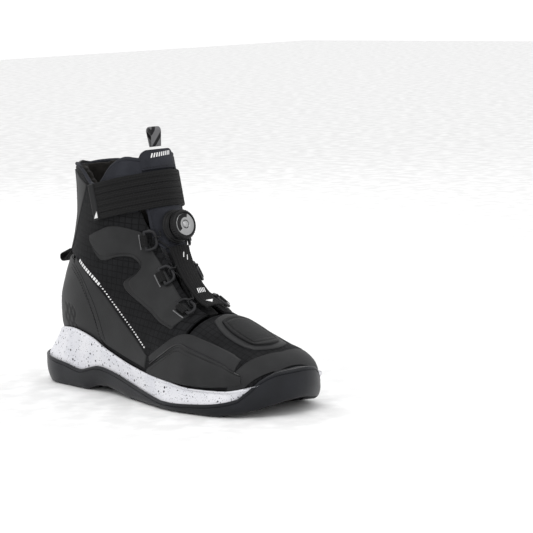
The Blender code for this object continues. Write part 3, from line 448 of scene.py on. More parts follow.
def layered_mesh(name, rings):
    """A solid through closed rings, zipped shut at both ends."""
    count = len(rings[0])
    half = count // 2
    faces = []
    for i in range(len(rings) - 1):
        for j in range(count):
            k = (j + 1) % count
            faces.append((i * count + j, i * count + k, (i + 1) * count + k, (i + 1) * count + j))
    for ring in (0, len(rings) - 1):
        base = ring * count
        faces += [(base + j, base + j + 1, base + count - 2 - j, base + count - 1 - j) for j in range(half - 1)]
    mesh = bpy.data.meshes.new(name)
    mesh.from_pydata([tuple(p) for ring in rings for p in ring], [], faces)
    return sealed(mesh, 0.02)


CUP_WALL, CUP_WALL_FOOT, TREAD_PITCH, TREAD_GROOVE, TREAD_DEPTH = 1.8, 4.4, 9.5, 2.0, 2.2


def over_ground(rise):
    return lambda x, side: ground(x) + rise


cup_floor = over_ground(4.5)


def cup_rim(x, side):
    return outsole_rim[side](x) - 0.3


def shelf(x, side):
    return min(cup_rim(x, side), midsole_rim[side](x) + 1.6)


def bumper(ring, height):
    tucked = deeper(ring, hugging_ring(2.4, height))
    return [t if cup_rim(*place) > shelf(*place) + 0.5 else Vector((r.x, r.y, cup_rim(*place)))
            for r, t, place in zip(ring, tucked, PLACES)]


def tread(x, side):
    """The tread's underside: lugs with a groove between them."""
    inside = abs((x / TREAD_PITCH) % 1 - 0.5) * TREAD_PITCH
    lift = TREAD_DEPTH * max(0.0, min(1.0, (TREAD_GROOVE / 2 + 0.5 - inside) / 0.5))
    return ground(x) + (lift if abs(x + 55) > 24 and -140 < x < 138 else 0.0)


def rim_at(rise):
    return lambda x, side: outsole_rim[side](x) + rise


def wall_at(share):
    """A height up the cup's outer wall, from the ground to the rim."""
    return lambda x, side: (1 - share) * ground(x) + share * outsole_rim[side](x)


finished("outsole_cup", layered_mesh("outsole_cup", [
    outline_ring(9.0, cup_floor),
    outline_ring(CUP_WALL_FOOT, cup_floor),
    outline_ring(CUP_WALL, shelf),
    bumper(outline_ring(CUP_WALL, shelf), shelf),
    bumper(outline_ring(CUP_WALL, cup_rim), cup_rim),
    *[outline_ring(inset, rim_at(rise)) for inset, rise in (
        (1.3, 0.1), (0.7, 0.0), (0.25, -0.5), (0.05, -1.2), (0.05, -1.9), (0.55, -2.2), (0.55, -2.6), (0.1, -2.9))],
    *[outline_ring(inset, wall_at(share)) for inset, share in (
        (0.0, 0.62), (0.15, 0.5), (0.5, 0.38), (1.1, 0.26), (2.0, 0.14))],
    outline_ring(3.2, over_ground(0.7)),
    *[outline_ring(inset, tread) for inset in (4.4, 8.0, 13.5)],
    *[outline_ring(inset, over_ground(1.2)) for inset in (14.0, 16.0)],
    *[outline_ring(inset, tread) for inset in (16.5, 26.0)],
]), rubber, "boot", ["outsole"])

# ---- Midsole -----------------------------------------------------------------------------------
# A wedge of pale foam, thick under the heel, with dark granules mixed into it that show as specks
# of all sizes.  It is cemented into the cup and its lip hugs the upper.
floor_height = smooth_curve((-147, 33), (-120, 32), (-80, 30), (-40, 25), (0, 19), (50, 15),
                            (100, 15), (147, 20))
foam = Finish("midsole_foam", (0.68, 0.68, 0.715), 0.62)
spot = foam.place()
specks = []
for scale, most, seed in ((300.0, 0.62, 0.0), (560.0, 0.6, 3.1), (1100.0, 0.6, 7.7)):
    shifted = foam.node("ShaderNodeMapping", {}, {"Vector": spot, "Location": (seed, seed, seed)})
    cell = foam.node("ShaderNodeTexVoronoi", {}, {"Vector": shifted, "Scale": scale}, "Distance")
    tint = foam.node("ShaderNodeTexVoronoi", {}, {"Vector": shifted, "Scale": scale}, "Color")
    chance = foam.node("ShaderNodeSeparateColor", {}, [tint], 0)
    specks.append((cell < (chance - 0.45) * most) * 1.0)
mottle = foam.noise(spot, 60, 3)
tone = foam.blend(mottle.between(0.3, 0.7), (0.64, 0.645, 0.685), (0.73, 0.73, 0.76))
tone = foam.blend(specks[2], tone, (0.20, 0.20, 0.22))
tone = foam.blend(specks[1], tone, (0.12, 0.12, 0.135))
foam.put("Base Color", foam.blend(specks[0], tone, (0.05, 0.05, 0.06)))
foam.put("Roughness", 0.58 + mottle * 0.12)
foam.bump(foam.noise(spot, 900, 2), 0.00012)


def foam_edge(x, side):
    return max(cup_floor(x, side) + 2.5, min(cup_rim(x, side), midsole_rim[side](x) - 5))


def foam_inset(x, side):
    share = (foam_edge(x, side) - cup_floor(x, side)) / (shelf(x, side) - cup_floor(x, side))
    return CUP_WALL_FOOT + (CUP_WALL - CUP_WALL_FOOT) * min(share, 1.0) + GAP + 0.3


def lip(rise):
    return lambda x, side: midsole_rim[side](x) + rise


def foam_top(rise, out):
    top = hugging_ring(out, lip(rise))
    held = deeper(top, outline_ring(CUP_WALL + GAP + 0.3, lip(rise)))
    return [h if cup_rim(*place) > midsole_rim[place[1]](place[0]) - 4 else p
            for p, h, place in zip(top, held, PLACES)]


def dish(share):
    return lambda x, side: (1 - share) * (midsole_rim[side](x) - 0.8) + share * (floor_height(x) + 0.6)


foam_low, foam_high = outline_ring(foam_inset, foam_edge), foam_top(-1.6, 3.9)
finished("midsole_wedge", layered_mesh("midsole_wedge", [
    outline_ring(9.2, lambda x, side: cup_floor(x, side) + GAP),
    outline_ring(CUP_WALL_FOOT + GAP + 0.3, lambda x, side: cup_floor(x, side) + GAP),
    foam_low,
    *[[a.lerp(b, k / 8) for a, b in zip(foam_high, foam_low)] for k in range(7, 0, -1)],
    foam_high,
    foam_top(-0.8, 3.75),
    foam_top(-0.2, 3.3),
    *[hugging_ring(out, lip(rise)) for out, rise in ((2.7, 0.3), (1.9, 0.5), (1.2, 0.35), (0.9, -0.2))],
    *[hugging_ring(out, dish(share)) for out, share in ((1.1, 0.35), (1.4, 0.7), (1.7, 1.0))],
    hugging_ring(-4.0, lambda x, side: floor_height(x)),
]), foam.material, "boot", ["midsole"])

# ---- Shell cloth -------------------------------------------------------------------------------
# The upper is cut from black ripstop: a fine plain weave with thicker threads in a small square
# grid.  Toe and vamp are one piece; a quarter goes up each side to the collar.
SIDES = ((LATERAL, "lateral"), (MEDIAL, "medial"))


def front_point(s, y):
    """The point of section s at y from its middle, on its front half."""
    values = section(s)
    lateral, medial, power = values[4], values[5], values[8]
    share = -y / ((medial + lateral) / 2)
    bend = math.asin(min(1.0, abs(share) ** (power / 2)))
    return upper_point(s, math.pi - math.copysign(bend, share))


SHAFT_AXIS = Vector((-64.0, -0.5, 0.0))


def flank(side, x, z):
    return cast(Vector((x, 0, z)), Vector((0, -side, 0)))


def from_behind(y, z):
    return cast(Vector((SHAFT_AXIS.x, y, z)), Vector((1, 0, 0)))


def facings(grid, closed=False):
    """Unit normals of a grid, pointing out of the boot."""
    if closed:
        across = np.roll(grid, -1, 1) - np.roll(grid, 1, 1)
    else:
        across = np.gradient(grid, axis=1)
    normals = np.cross(across, np.gradient(grid, axis=0))
    size = np.linalg.norm(normals, axis=2, keepdims=True)
    normals = normals / np.maximum(size, 1e-9)
    low = grid[..., 2:3] < 100
    core = np.where(low, np.concatenate([grid[..., :1] * 0.9, grid[..., 1:2] * 0, grid[..., 2:3] * 0 + 25], 2),
                    np.concatenate([grid[..., :1] * 0 - 58, grid[..., 1:2] * 0, grid[..., 2:3]], 2))
    outward = np.sum(normals * (grid - core))
    return normals if outward > 0 else -normals


def slab_mesh(name, grid, inner, outer, soft=0.4, closed=False, relief=None):
    """A sheet with thickness between two offsets from a grid, its outer edge eased by soft.
    relief(row share, column share) adds to the outer face.  Cloth directions go in its UV map."""
    rows, width = grid.shape[:2]
    normals = facings(grid, closed)
    lift = np.full((rows, width), float(outer))
    if relief:
        lift += np.array([[relief(i / (rows - 1), j / (width - 1)) for j in range(width)] for i in range(rows)])
    lift[0], lift[-1] = lift[0] - soft, lift[-1] - soft
    if not closed:
        lift[1:-1, 0] -= soft
        lift[1:-1, -1] -= soft
    top = grid + normals * lift[..., None]
    low = grid + normals * inner
    along = np.linalg.norm(np.diff(grid, axis=1), axis=2)
    down = np.linalg.norm(np.diff(grid, axis=0), axis=2)
    u = np.concatenate([np.zeros((rows, 1)), np.cumsum(along, 1)], 1)
    v = np.concatenate([np.zeros((1, width)), np.cumsum(down, 0)], 0)
    u -= u[:, width // 2:width // 2 + 1]
    v -= v[rows // 2:rows // 2 + 1]
    count = rows * width
    faces = []
    last = width if closed else width - 1
    for i in range(rows - 1):
        for j in range(last):
            k = (j + 1) % width
            a, b, c, d = i * width + j, i * width + k, (i + 1) * width + k, (i + 1) * width + j
            faces += [(a, b, c, d), (count + d, count + c, count + b, count + a)]
    for i, way in ((0, 1), (rows - 1, -1)):
        for j in range(last):
            k = (j + 1) % width
            a, b = i * width + j, i * width + k
            faces.append((b, a, count + a, count + b)[::way])
    if not closed:
        for j, way in ((0, 1), (width - 1, -1)):
            for i in range(rows - 1):
                a, b = i * width + j, (i + 1) * width + j
                faces.append((a, b, count + b, count + a)[::way])
    mesh = bpy.data.meshes.new(name)
    mesh.from_pydata(np.concatenate([top.reshape(-1, 3), low.reshape(-1, 3)]).tolist(), [], faces)
    layer = mesh.uv_layers.new(name="cloth")
    flat = np.stack([u, v], 2).reshape(-1, 2) * MM
    flat = np.concatenate([flat, flat])
    corner = np.empty(len(mesh.loops), dtype=np.int32)
    mesh.loops.foreach_get("vertex_index", corner)
    layer.data.foreach_set("uv", flat[corner].astype(np.float32).ravel())
    return sealed(mesh, 0.01, False)


def slab(name, look, body, slot, grid, inner, outer, stands_for=(), **how):
    return finished(name, slab_mesh(name, grid, inner, outer, **how), look, body, stands_for)


SQUARE = 0.0052


def ripstop_cloth(name, turn, upright=False):
    made = Finish(name, (0.01, 0.01, 0.011), 0.72, Specular_IOR_Level=0.1)
    _, u, v = made.cloth(turn)
    if upright:
        x, z = (made.node("ShaderNodeSeparateXYZ", {}, [made.place()], k) for k in (0, 2))
        u, v = x * math.cos(turn) + z * math.sin(turn), z * math.cos(turn) - x * math.sin(turn)
    thick = 1.0 - u.away(SQUARE).between(0.00018, 0.00042) * v.away(SQUARE).between(0.00018, 0.00042)
    weave = (u * 9000).wave() * (v * 9000).wave()
    cloud = made.noise(made.place(), 50, 3)
    base = made.blend(cloud.between(0.3, 0.75), (0.0080, 0.0082, 0.0090), (0.0135, 0.0138, 0.015))
    made.put("Base Color", made.blend(thick * 0.8, base, (0.0022, 0.0022, 0.0026)))
    made.put("Roughness", 0.66 + weave * 0.05 + cloud * 0.1)
    made.bump(weave * 0.35 + thick * 0.9, 0.00022)
    return made.material


side_cloth = ripstop_cloth("ripstop_side", math.radians(-6), upright=True)
toe_cloth = ripstop_cloth("ripstop_toe", 0.0)


def shell_foot(x):
    return floor_height(x) + 1.4


def foot_angle(s, side, level):
    for k in range(541):
        angle = math.pi * k / 720
        p = upper_point(s, -side * angle)
        if p.z >= level(p.x) and abs(p.y) > 0.2:
            return angle
    return math.pi * 0.75


def toe_rows(stations, columns, level, reach=1.0):
    """Points across the toe, one row for each section, down to a level on both sides."""
    grid = []
    for s in stations:
        ends = {side: (math.pi - foot_angle(s, side, lambda x: level(x, side))) * reach for side in (LATERAL, MEDIAL)}
        row = []
        for j in range(columns):
            share = -1 + 2 * j / (columns - 1)
            row.append(tuple(upper_point(s, math.pi + share * ends[LATERAL if share < 0 else MEDIAL])))
        grid.append(row)
    return np.array(grid)


vamp_stations = list(np.linspace(0.012, 0.19, 44)) + list(np.linspace(0.195, 0.345, 56))
vamp_grid = toe_rows(vamp_stations, 141, lambda x, side: shell_foot(x))
slab("vamp", toe_cloth, "boot", "ripstop", vamp_grid, -SHELL, 0.0, ["vamp_shell"], soft=0.5)

collar_height = smooth_curve((-117, 183), (-105, 187), (-92, 188), (-77, 184), (-65, 177),
                             (-55, 171.5), (-45, 171), (-35, 177), (-24, 186), (-12, 194), (0, 199))
throat_half_width = smooth_curve((0.36, 8.5), (0.57, 8.8), (0.66, 11.5), (0.74, 16), (0.80, 20),
                                 (0.88, 23), (0.96, 23), (1.0, 20))
heel_seam = smooth_curve((-150, 111), (-100, 110), (-84, 105), (-68, 82), (-54, 55), (-42, 31),
                         (-30, 5))
BACKSTAY_HALF_WIDTH, BACKSTAY_FOOT_Z, BACKSTAY_TOP_Z, THROAT_X = 17.0, 112.6, 186.0, 60.0


def throat_edge(side, margin):
    return [front_point(s, side * (throat_half_width(s) + margin)) for s in np.linspace(0.36, 1.03, 160)]


def quarter_points(side, rows=46):
    edge = throat_edge(side, GAP + 0.5)[::-1]
    edge_x, edge_z = [p.x for p in edge], [p.z for p in edge]
    spots = [-112.0, -104, -95, -86, -77, -67, -56, -45, -36, -29, -24, -20, -16.5, -13, -10, -7, -4,
             -1, 3, 8, 14, 21, 29, 38, 47, THROAT_X - 4.4]
    spots = [a + (b - a) * k / 5 for a, b in zip(spots, spots[1:]) for k in range(5)] + spots[-1:]
    grid = []
    for x in spots:
        low = max(shell_foot(x), heel_seam(x) + 1.8)
        high = min(collar_height(x), float(np.interp(x, edge_x, edge_z, left=999)))
        column = []
        for i in range(rows):
            z = low + (high - low) * i / (rows - 1)
            start = x
            if x < -67:
                behind = from_behind(side * BACKSTAY_HALF_WIDTH, z).x + 1.0
                start = behind + (x + 112) / 45 * (-67 - behind)
            column.append(tuple(flank(side, start, z)))
        grid.append(column)
    return np.array(grid)


for side, word in SIDES:
    slab("side_" + word, side_cloth, "boot", "ripstop", quarter_points(side), -SHELL, 0.0,
         ["quarter_" + word], soft=0.7)

# ---- Coated microfibre ---------------------------------------------------------------------------
# Smooth dark grey microfibre with a faint pebble covers the heel, the lower flank, the eyestays and
# the toe.  It is bonded on hot, which leaves rounded edges and shallow pressed channels.
def around(angle, z):
    """A point of the shaft or heel at a height, by its angle from the back."""
    return cast(Vector((SHAFT_AXIS.x, SHAFT_AXIS.y, z)), Vector((math.cos(angle), -math.sin(angle), 0)))


def rows_of(count, width, place):
    """A grid of points: place(share of rows, share of columns)."""
    return np.array([[tuple(place(i / (count - 1), j / (width - 1))) for j in range(width)]
                     for i in range(count)])


def through(knots, count):
    """count points along a smooth line through knots, with a knot at equal shares."""
    knots = [np.array(k, float) for k in knots]
    found = []
    for k in range(count):
        at = k / (count - 1) * (len(knots) - 1)
        i = min(int(at), len(knots) - 2)
        t = at - i
        a, b, c, d = knots[max(i - 1, 0)], knots[i], knots[i + 1], knots[min(i + 2, len(knots) - 1)]
        found.append(0.5 * (2 * b + (c - a) * t + (2 * a - 5 * b + 4 * c - d) * t * t
                            + (3 * b - a - 3 * c + d) * t**3))
    return np.array(found)


def evenly(line, step):
    """A smooth line's points again, a step apart."""
    line = np.asarray(line, float)
    size = np.concatenate([[0], np.cumsum(np.linalg.norm(np.diff(line, axis=0), axis=1))])
    count = max(2, int(size[-1] / step) + 1)
    at = np.linspace(0, size[-1], count)
    return np.stack([np.interp(at, size, line[:, k]) for k in range(line.shape[1])], 1)


def side_patch(side, low_knots, high_knots, columns, rows):
    """A grid on one flank between two lines of the side view, matched knot by knot."""
    low, high = through(low_knots, columns), through(high_knots, columns)
    return np.array([[tuple(flank(side, *(low[j] + (high[j] - low[j]) * i / (rows - 1)))) for j in range(columns)]
                     for i in range(rows)])


def stitch_tree():
    """Points a pitch apart along a seam, with a fat strand on each that follows the seam."""
    tree = bpy.data.node_groups.new("stitch_row", "GeometryNodeTree")
    for label, kind in (("Geometry", "Geometry"), ("Pitch", "Float"), ("Length", "Float"), ("Thread", "Float"),
                        ("Finish", "Material")):
        tree.interface.new_socket(label, in_out="INPUT", socket_type="NodeSocket" + kind)
    tree.interface.new_socket("Geometry", in_out="OUTPUT", socket_type="NodeSocketGeometry")
    given, seam, spots, strand, size, place, turn, solid, finish, result = (tree.nodes.new(kind) for kind in (
        "NodeGroupInput", "GeometryNodeMeshToCurve", "GeometryNodeCurveToPoints", "GeometryNodeMeshUVSphere",
        "ShaderNodeCombineXYZ", "GeometryNodeInstanceOnPoints", "FunctionNodeAlignRotationToVector",
        "GeometryNodeRealizeInstances", "GeometryNodeSetMaterial", "NodeGroupOutput"))
    spots.mode, turn.axis = "LENGTH", "X"
    for label, value in (("Segments", 6), ("Rings", 4), ("Radius", 0.5)):
        strand.inputs[label].default_value = value
    for source, out, target, into in (
            (given, "Geometry", seam, 0), (seam, 0, spots, "Curve"), (given, "Pitch", spots, "Length"),
            (spots, "Points", place, "Points"), (strand, "Mesh", place, "Instance"),
            (spots, "Tangent", turn, "Vector"), (turn, "Rotation", place, "Rotation"),
            (given, "Length", size, 0), (given, "Thread", size, 1), (given, "Thread", size, 2),
            (size, 0, place, "Scale"), (place, 0, solid, 0), (solid, 0, finish, "Geometry"),
            (given, "Finish", finish, "Material"), (finish, 0, result, 0)):
        tree.links.new(source.outputs[out], target.inputs[into])
    return tree


STITCH_ROW = stitch_tree()


def stitched(name, lines, look, body, pitch=2.6, length=1.9, thread=0.5):
    """Rows of stitches along lines of points that lie on the cloth."""
    mesh = bpy.data.meshes.new(name + "_lines")
    points, edges = [], []
    for line in lines:
        base = len(points)
        points += [tuple(float(c) * MM for c in p) for p in line]
        edges += [(base + i, base + i + 1) for i in range(len(line) - 1)]
    mesh.from_pydata(points, edges, [])
    seam = bpy.data.objects.new(name + "_lines", mesh)
    scene.collection.objects.link(seam)
    maker = seam.modifiers.new("stitches", "NODES")
    maker.node_group = STITCH_ROW
    wanted = {"Pitch": pitch * MM, "Length": length * MM, "Thread": thread * MM, "Finish": look}
    for item in STITCH_ROW.interface.items_tree:
        if item.in_out == "INPUT" and item.name in wanted:
            maker[item.identifier] = wanted[item.name]
    ready = seam.evaluated_get(bpy.context.evaluated_depsgraph_get())
    result = bpy.data.meshes.new_from_object(ready)
    result.name = name
    seam.modifiers.clear()
    bpy.data.objects.remove(seam, do_unlink=True)
    result.transform(Matrix.Scale(1 / MM, 4))
    return finished(name, result, look, body, sharp=180)


def tube_mesh(name, line, radius, sides=10, closed=False):
    """A round strand along points, its twist kept low by carrying one direction along."""
    line = np.asarray(line, float)
    count = len(line)
    ahead = np.roll(line, -1, 0) - np.roll(line, 1, 0)
    if not closed:
        ahead[0], ahead[-1] = line[1] - line[0], line[-1] - line[-2]
    ahead /= np.linalg.norm(ahead, axis=1)[:, None]
    aside = np.cross(ahead[0], (0.1, 0.2, 1.0))
    points = []
    length = np.concatenate([[0], np.cumsum(np.linalg.norm(np.diff(line, axis=0), axis=1))])
    for i in range(count):
        aside = aside - ahead[i] * np.dot(aside, ahead[i])
        aside /= np.linalg.norm(aside)
        other = np.cross(ahead[i], aside)
        for k in range(sides):
            turn = 2 * math.pi * k / sides
            points.append(line[i] + (aside * math.cos(turn) + other * math.sin(turn)) * radius)
    faces, uvs = [], []
    for i in range(count if closed else count - 1):
        j = (i + 1) % count
        for k in range(sides):
            m = (k + 1) % sides
            faces.append((i * sides + k, i * sides + m, j * sides + m, j * sides + k))
            u0, u1 = length[i], length[i + 1] if i + 1 < count else length[i] + 1
            uvs += [(u0, k / sides * 4), (u0, (k + 1) / sides * 4), (u1, (k + 1) / sides * 4), (u1, k / sides * 4)]
    if not closed:
        faces += [tuple(range(sides))[::-1], tuple((count - 1) * sides + k for k in range(sides))]
        uvs += [(0, 0)] * (2 * sides)
    mesh = bpy.data.meshes.new(name)
    mesh.from_pydata([tuple(p) for p in points], [], faces)
    layer = mesh.uv_layers.new(name="cloth")
    layer.data.foreach_set("uv", (np.array(uvs) * MM).astype(np.float32).ravel())
    return sealed(mesh)


def joined(name, meshes):
    """Several meshes as one."""
    work = bmesh.new()
    for mesh in meshes:
        work.from_mesh(mesh)
    whole = bpy.data.meshes.new(name)
    work.to_mesh(whole)
    work.free()
    return whole


microfibre = grained("microfibre", (0.0185, 0.0188, 0.0195), 0.5, grain=1500, depth=0.00012, worn=1.2)
soft_grey = grained("microfibre_light", (0.0180, 0.0183, 0.0192), 0.52, grain=1300, depth=0.00014, worn=1.15)
deep_grey = grained("microfibre_deep", (0.0100, 0.0102, 0.0110), 0.46, grain=1500, depth=0.00012, worn=1.25)
gloss = grained("gloss_black", (0.006, 0.006, 0.007), 0.18, grain=600, depth=0.00004, worn=1.5, Coat_Weight=0.2)
thread = grained("thread_black", (0.004, 0.004, 0.0045), 0.6, grain=2500)
pale_print = grained("print_white", (0.78, 0.78, 0.78), 0.5, grain=2000, depth=0.00003, worn=1.05)


def groove(at, place, width, depth):
    """A pressed channel: how far it sinks at a place."""
    return -depth * math.exp(-((at - place) / width) ** 2)


def heel_points(top_drop, foot_rise, rows, spread, step=3):
    grid = []
    for degrees in np.arange(-spread, spread + step / 2, step):
        angle = math.radians(degrees)
        top = 80.0
        for _ in range(14):
            top = 0.5 * top + 0.5 * (heel_seam(around(angle, top).x) - top_drop)
        low = shell_foot(around(angle, 40).x) + foot_rise
        grid.append([tuple(around(angle, low + (top - low) * i / (rows - 1))) for i in range(rows)])
    return np.array(grid)


def heel_relief(across, rise):
    """A pressed lattice of short bars low on each side of the heel."""
    side = min(abs(across - 0.33), abs(across - 0.67))
    if side > 0.05 or not 0.18 < rise < 0.5:
        return 0.0
    a, b = (across * 30 + rise * 6) % 1, (across * 30 - rise * 6) % 1
    return -0.6 if min(a, b) < 0.30 else 0.0


slab("heel_cover", microfibre, "boot", "microfibre", heel_points(1.9, 0.3, 60, 126, 1.5), -SHELL, 0.0,
     ["heel_panel"], soft=0.6, relief=heel_relief)

grid = rows_of(46, 33, lambda i, j: from_behind(
    (BACKSTAY_HALF_WIDTH - GAP) * (2 * j - 1),
    BACKSTAY_FOOT_Z + (BACKSTAY_TOP_Z + 3 * (1 - abs(2 * j - 1)) - BACKSTAY_FOOT_Z) * i))
slab("back_panel", soft_grey, "boot", "microfibre", grid, -SHELL, 0.0, ["backstay_panel"], soft=0.6)

# the light grey wings beside the back panel, up to the collar
wing_low = [(-102, 118), (-97, 128), (-90, 140), (-82, 152), (-73, 163), (-66, 173)]
for side, word in SIDES:
    seam = [tuple(from_behind(side * (BACKSTAY_HALF_WIDTH + 0.2), z)) for z in np.arange(114.5, 186, 3.0)]
    cord = evenly(seam, 1.5)
    finished("back_piping_" + word, tube_mesh("back_piping", cord, 0.9, 8), microfibre, "boot")
    wing_high = [(from_behind(side * BACKSTAY_HALF_WIDTH, z).x + 1.8, z) for z in (120, 132, 144, 156, 168, 177, 183)]
    slab("collar_wing_" + word, soft_grey, "boot", "microfibre", side_patch(side, wing_low, wing_high, 60, 24),
         0.02, 0.55, soft=0.35)

# the smooth flank between the heel seam and the diagonal stripe
flank_low = [(-88, 105.5), (-75, 93), (-64, 74), (-56, 59), (-48, 44), (-30, 38), (-8, 33), (14, 29)]
flank_high = [(-87, 111), (-70, 101), (-57, 91.5), (-45, 82), (-32, 72), (-17, 61), (0, 50), (17, 39)]


def ridges(row, column):
    """Low ridges that run along the inner flank."""
    return 0.35 * max(0.0, math.cos(row * math.pi * 6)) - 0.1


for side, word in SIDES:
    grid = side_patch(side, flank_low, flank_high, 110, 34)
    slab("flank_cover_" + word, microfibre if side == LATERAL else deep_grey, "boot", "microfibre", grid,
         0.02, 0.6, soft=0.4, relief=ridges if side == MEDIAL else None)


def on_flank(side, knots, step=1.2, lift=0.0):
    """A seam line on one flank: points of a smooth side-view line, lifted off the shell."""
    found = []
    for x, z in evenly(through(knots, 60), step):
        p = flank(side, x, z)
        found.append(tuple(p + Vector((0, side * lift, 0))))
    return found


def beside(knots, shift):
    """A side-view line moved sideways."""
    line = through(knots, 40)
    ahead = np.gradient(line, axis=0)
    ahead /= np.linalg.norm(ahead, axis=1)[:, None]
    return [tuple(p + np.array([-a[1], a[0]]) * shift) for p, a in zip(line, ahead)]


heel_line = [(-95.3, 99), (-84, 93.5), (-75, 84), (-64.5, 68), (-57, 54), (-51, 41)]
for side, word in SIDES:
    stitched("heel_stitches_" + word, [on_flank(side, beside(heel_line, shift), lift=0.35) for shift in (2.0, 5.0)],
             thread, "boot")
    cord = tube_mesh("heel_piping_" + word, on_flank(side, beside(heel_line, 8.0), 1.5, 0.2), 0.7, 8)
    finished("heel_piping_" + word, cord, deep_grey, "boot")

# the diagonal stripe of small plain marks, printed on the outer side only
marks = []
stripe = through([(-81, 110), (-56.6, 95), (-35.3, 78), (-8.4, 59), (14.4, 44)], 60)
spots = evenly(stripe, 3.1)
random.seed(5)
for k in range(1, len(spots) - 1):
    along = np.array(spots[k + 1] - spots[k - 1])
    along /= np.linalg.norm(along)
    across = np.array([-along[1], along[0]])
    large = k < 12
    half, tall = random.uniform(0.7, 1.2) if large else random.uniform(0.5, 1.0), 1.5 if large else 0.6
    grid = np.array([[tuple(flank(LATERAL, *(spots[k] + along * half * u + across * tall * v + along * 0.35 * v)))
                      for u in (-1, 0, 1)] for v in (-1, 0, 1)])
    marks.append(slab_mesh("mark", grid, 0.02, 0.12, soft=0.0))
finished("side_marks", joined("side_marks", marks), pale_print, "boot", sharp=20)

# the moulded eyestays, with a pressed channel round their lower edge
stay_low = [(-60.5, 127), (-50.3, 113.9), (-41.9, 111.8), (-30.5, 115), (-17.5, 115.6), (-10, 110.5),
            (-9.8, 105.3), (-14.5, 100.6), (-23, 94.6), (-19.8, 88.6), (-7.6, 82), (10, 74), (25, 66.5),
            (40, 62)]
stay_margin = [(0.80, 13.0), (0.79, 9.0), (0.765, 6.0), (0.735, 5.0), (0.70, 5.0), (0.66, 5.0), (0.62, 5.0),
               (0.57, 5.0), (0.53, 5.0), (0.49, 5.5), (0.455, 6.0), (0.42, 7.0), (0.395, 8.0)]
for side, word in SIDES:
    edge = [front_point(s, side * (throat_half_width(s) + m)) for s, m in stay_margin]
    stay_high = [(-61.4, 131), (-47.2, 136.6), (-31.7, 141)] + [(p.x, p.z) for p in edge[2:]]
    grid = side_patch(side, stay_low, stay_high, 150, 46)
    slab("eyestay_" + word, microfibre, "boot", "microfibre", grid, 0.02, 1.35, ["ankle_overlay_" + word], soft=0.6,
         relief=lambda row, column: groove(row, 0.12, 0.04, 0.8) + 0.25 * math.sin(math.pi * min(1, row * 1.6)))


# the toe: a smooth cap, a frame beside the vamp, and a stitched panel over the little toe
def above_bumper(x, side):
    return max(outsole_rim[side](x + 5), midsole_rim[side](x)) + 0.6


cap_rows, cap_columns = 40, 121
cap_grid = []
cap_feet = {}
for i in range(cap_rows):
    row = []
    for j in range(cap_columns):
        share = -1 + 2 * j / (cap_columns - 1)
        s = 0.07 + (0.06 + 0.06 * abs(share) ** 1.3) * i / (cap_rows - 1)
        side = LATERAL if share < 0 else MEDIAL
        key = (round(s, 3), side)
        if key not in cap_feet:
            cap_feet[key] = math.pi - foot_angle(s, side, lambda x: above_bumper(x, side))
        row.append(tuple(upper_point(s, math.pi + share * cap_feet[key])))
    cap_grid.append(row)
slab("toe_cover", soft_grey, "boot", "microfibre", np.array(cap_grid), 0.02, 0.9, ["toe_cap"], soft=0.5)

frame_low = [(21, 35), (38, 41), (55, 49), (68, 48.5), (84, 43), (103, 35), (116, 29)]
frame_high = [(20, 39.5), (34, 48.5), (49, 58.2), (61, 60), (76, 56.5), (98, 50), (114, 44.5)]
panel_low = [(15, 25.5), (38, 22.8), (62, 22.4), (88, 22.6), (110, 24.6), (122, 27)]
panel_high = [(22, 31.5), (38.5, 42), (55, 52), (68, 50.4), (97, 42.3), (121, 33.5)]
for side, word in SIDES:
    slab("toe_frame_" + word, soft_grey, "boot", "microfibre", side_patch(side, frame_low, frame_high, 120, 22),
         0.02, 0.8, soft=0.5)
    stands = ["toe_panel_lateral"] if side == LATERAL else []
    slab("toe_side_" + word, microfibre, "boot", "microfibre", side_patch(side, panel_low, panel_high, 120, 30),
         0.02, 1.5, stands, soft=0.7,
         relief=lambda row, column: groove(row, 0.86, 0.03, 0.5) + 0.3 * math.sin(math.pi * row))
    seam = [(23.5, 32), (40, 41.5), (55.3, 50.4), (68, 48.8), (97, 40.8), (119, 32.6)]
    cord = tube_mesh("toe_piping_" + word, on_flank(side, beside(seam, 1.9), 1.5, 1.1), 0.85, 8)
    finished("toe_piping_" + word, cord, gloss, "boot")
    stitched("toe_stitches_" + word, [on_flank(side, beside(seam, shift), lift=1.75) for shift in (0.0, -2.6)],
             thread, "boot")

# ---- Shift pad ---------------------------------------------------------------------------------
# A raised pad of harder microfibre protects the vamp from the gear lever, with a lighter bonded
# border round it and a shallow pressed channel inside its edge; its dashed row of stitches is not made.
pad_look = grained("shift_pad", (0.0075, 0.0077, 0.0082), 0.5, grain=1100, depth=0.00025, worn=1.4,
                   Specular_IOR_Level=0.1)


def pad_points(grow, rows=56, columns=64):
    """The vamp from above: a rounded pad, wider towards the instep."""
    def place(i, j):
        a, b = 2 * i - 1, 2 * j - 1
        du, dv = a * math.sqrt(1 - 0.35 * b * b), b * math.sqrt(1 - 0.35 * a * a)
        x = 91 + (27 + grow) * du
        y = 4.5 + (-du) * 1.5 + (17.5 + grow - 1.5 * du) * dv
        return cast(Vector((x, y, 60)), Vector((-0.35, 0, -1)))
    return rows_of(rows, columns, place)


slab("shift_border", soft_grey, "boot", "microfibre", pad_points(5.5), 0.02, 0.9, soft=0.5)
pad_mesh = slab_mesh("shift_cover", pad_points(0.0), 0.3, 2.0, soft=0.8,
                     relief=lambda i, j: 0.7 * (math.sin(math.pi * i) * math.sin(math.pi * j)) ** 0.35
                     + groove(min(i, 1 - i, j, 1 - j), 0.1, 0.02, 0.4))
pad = finished("shift_cover", pad_mesh, pad_look, "boot", ["shift_pad"])

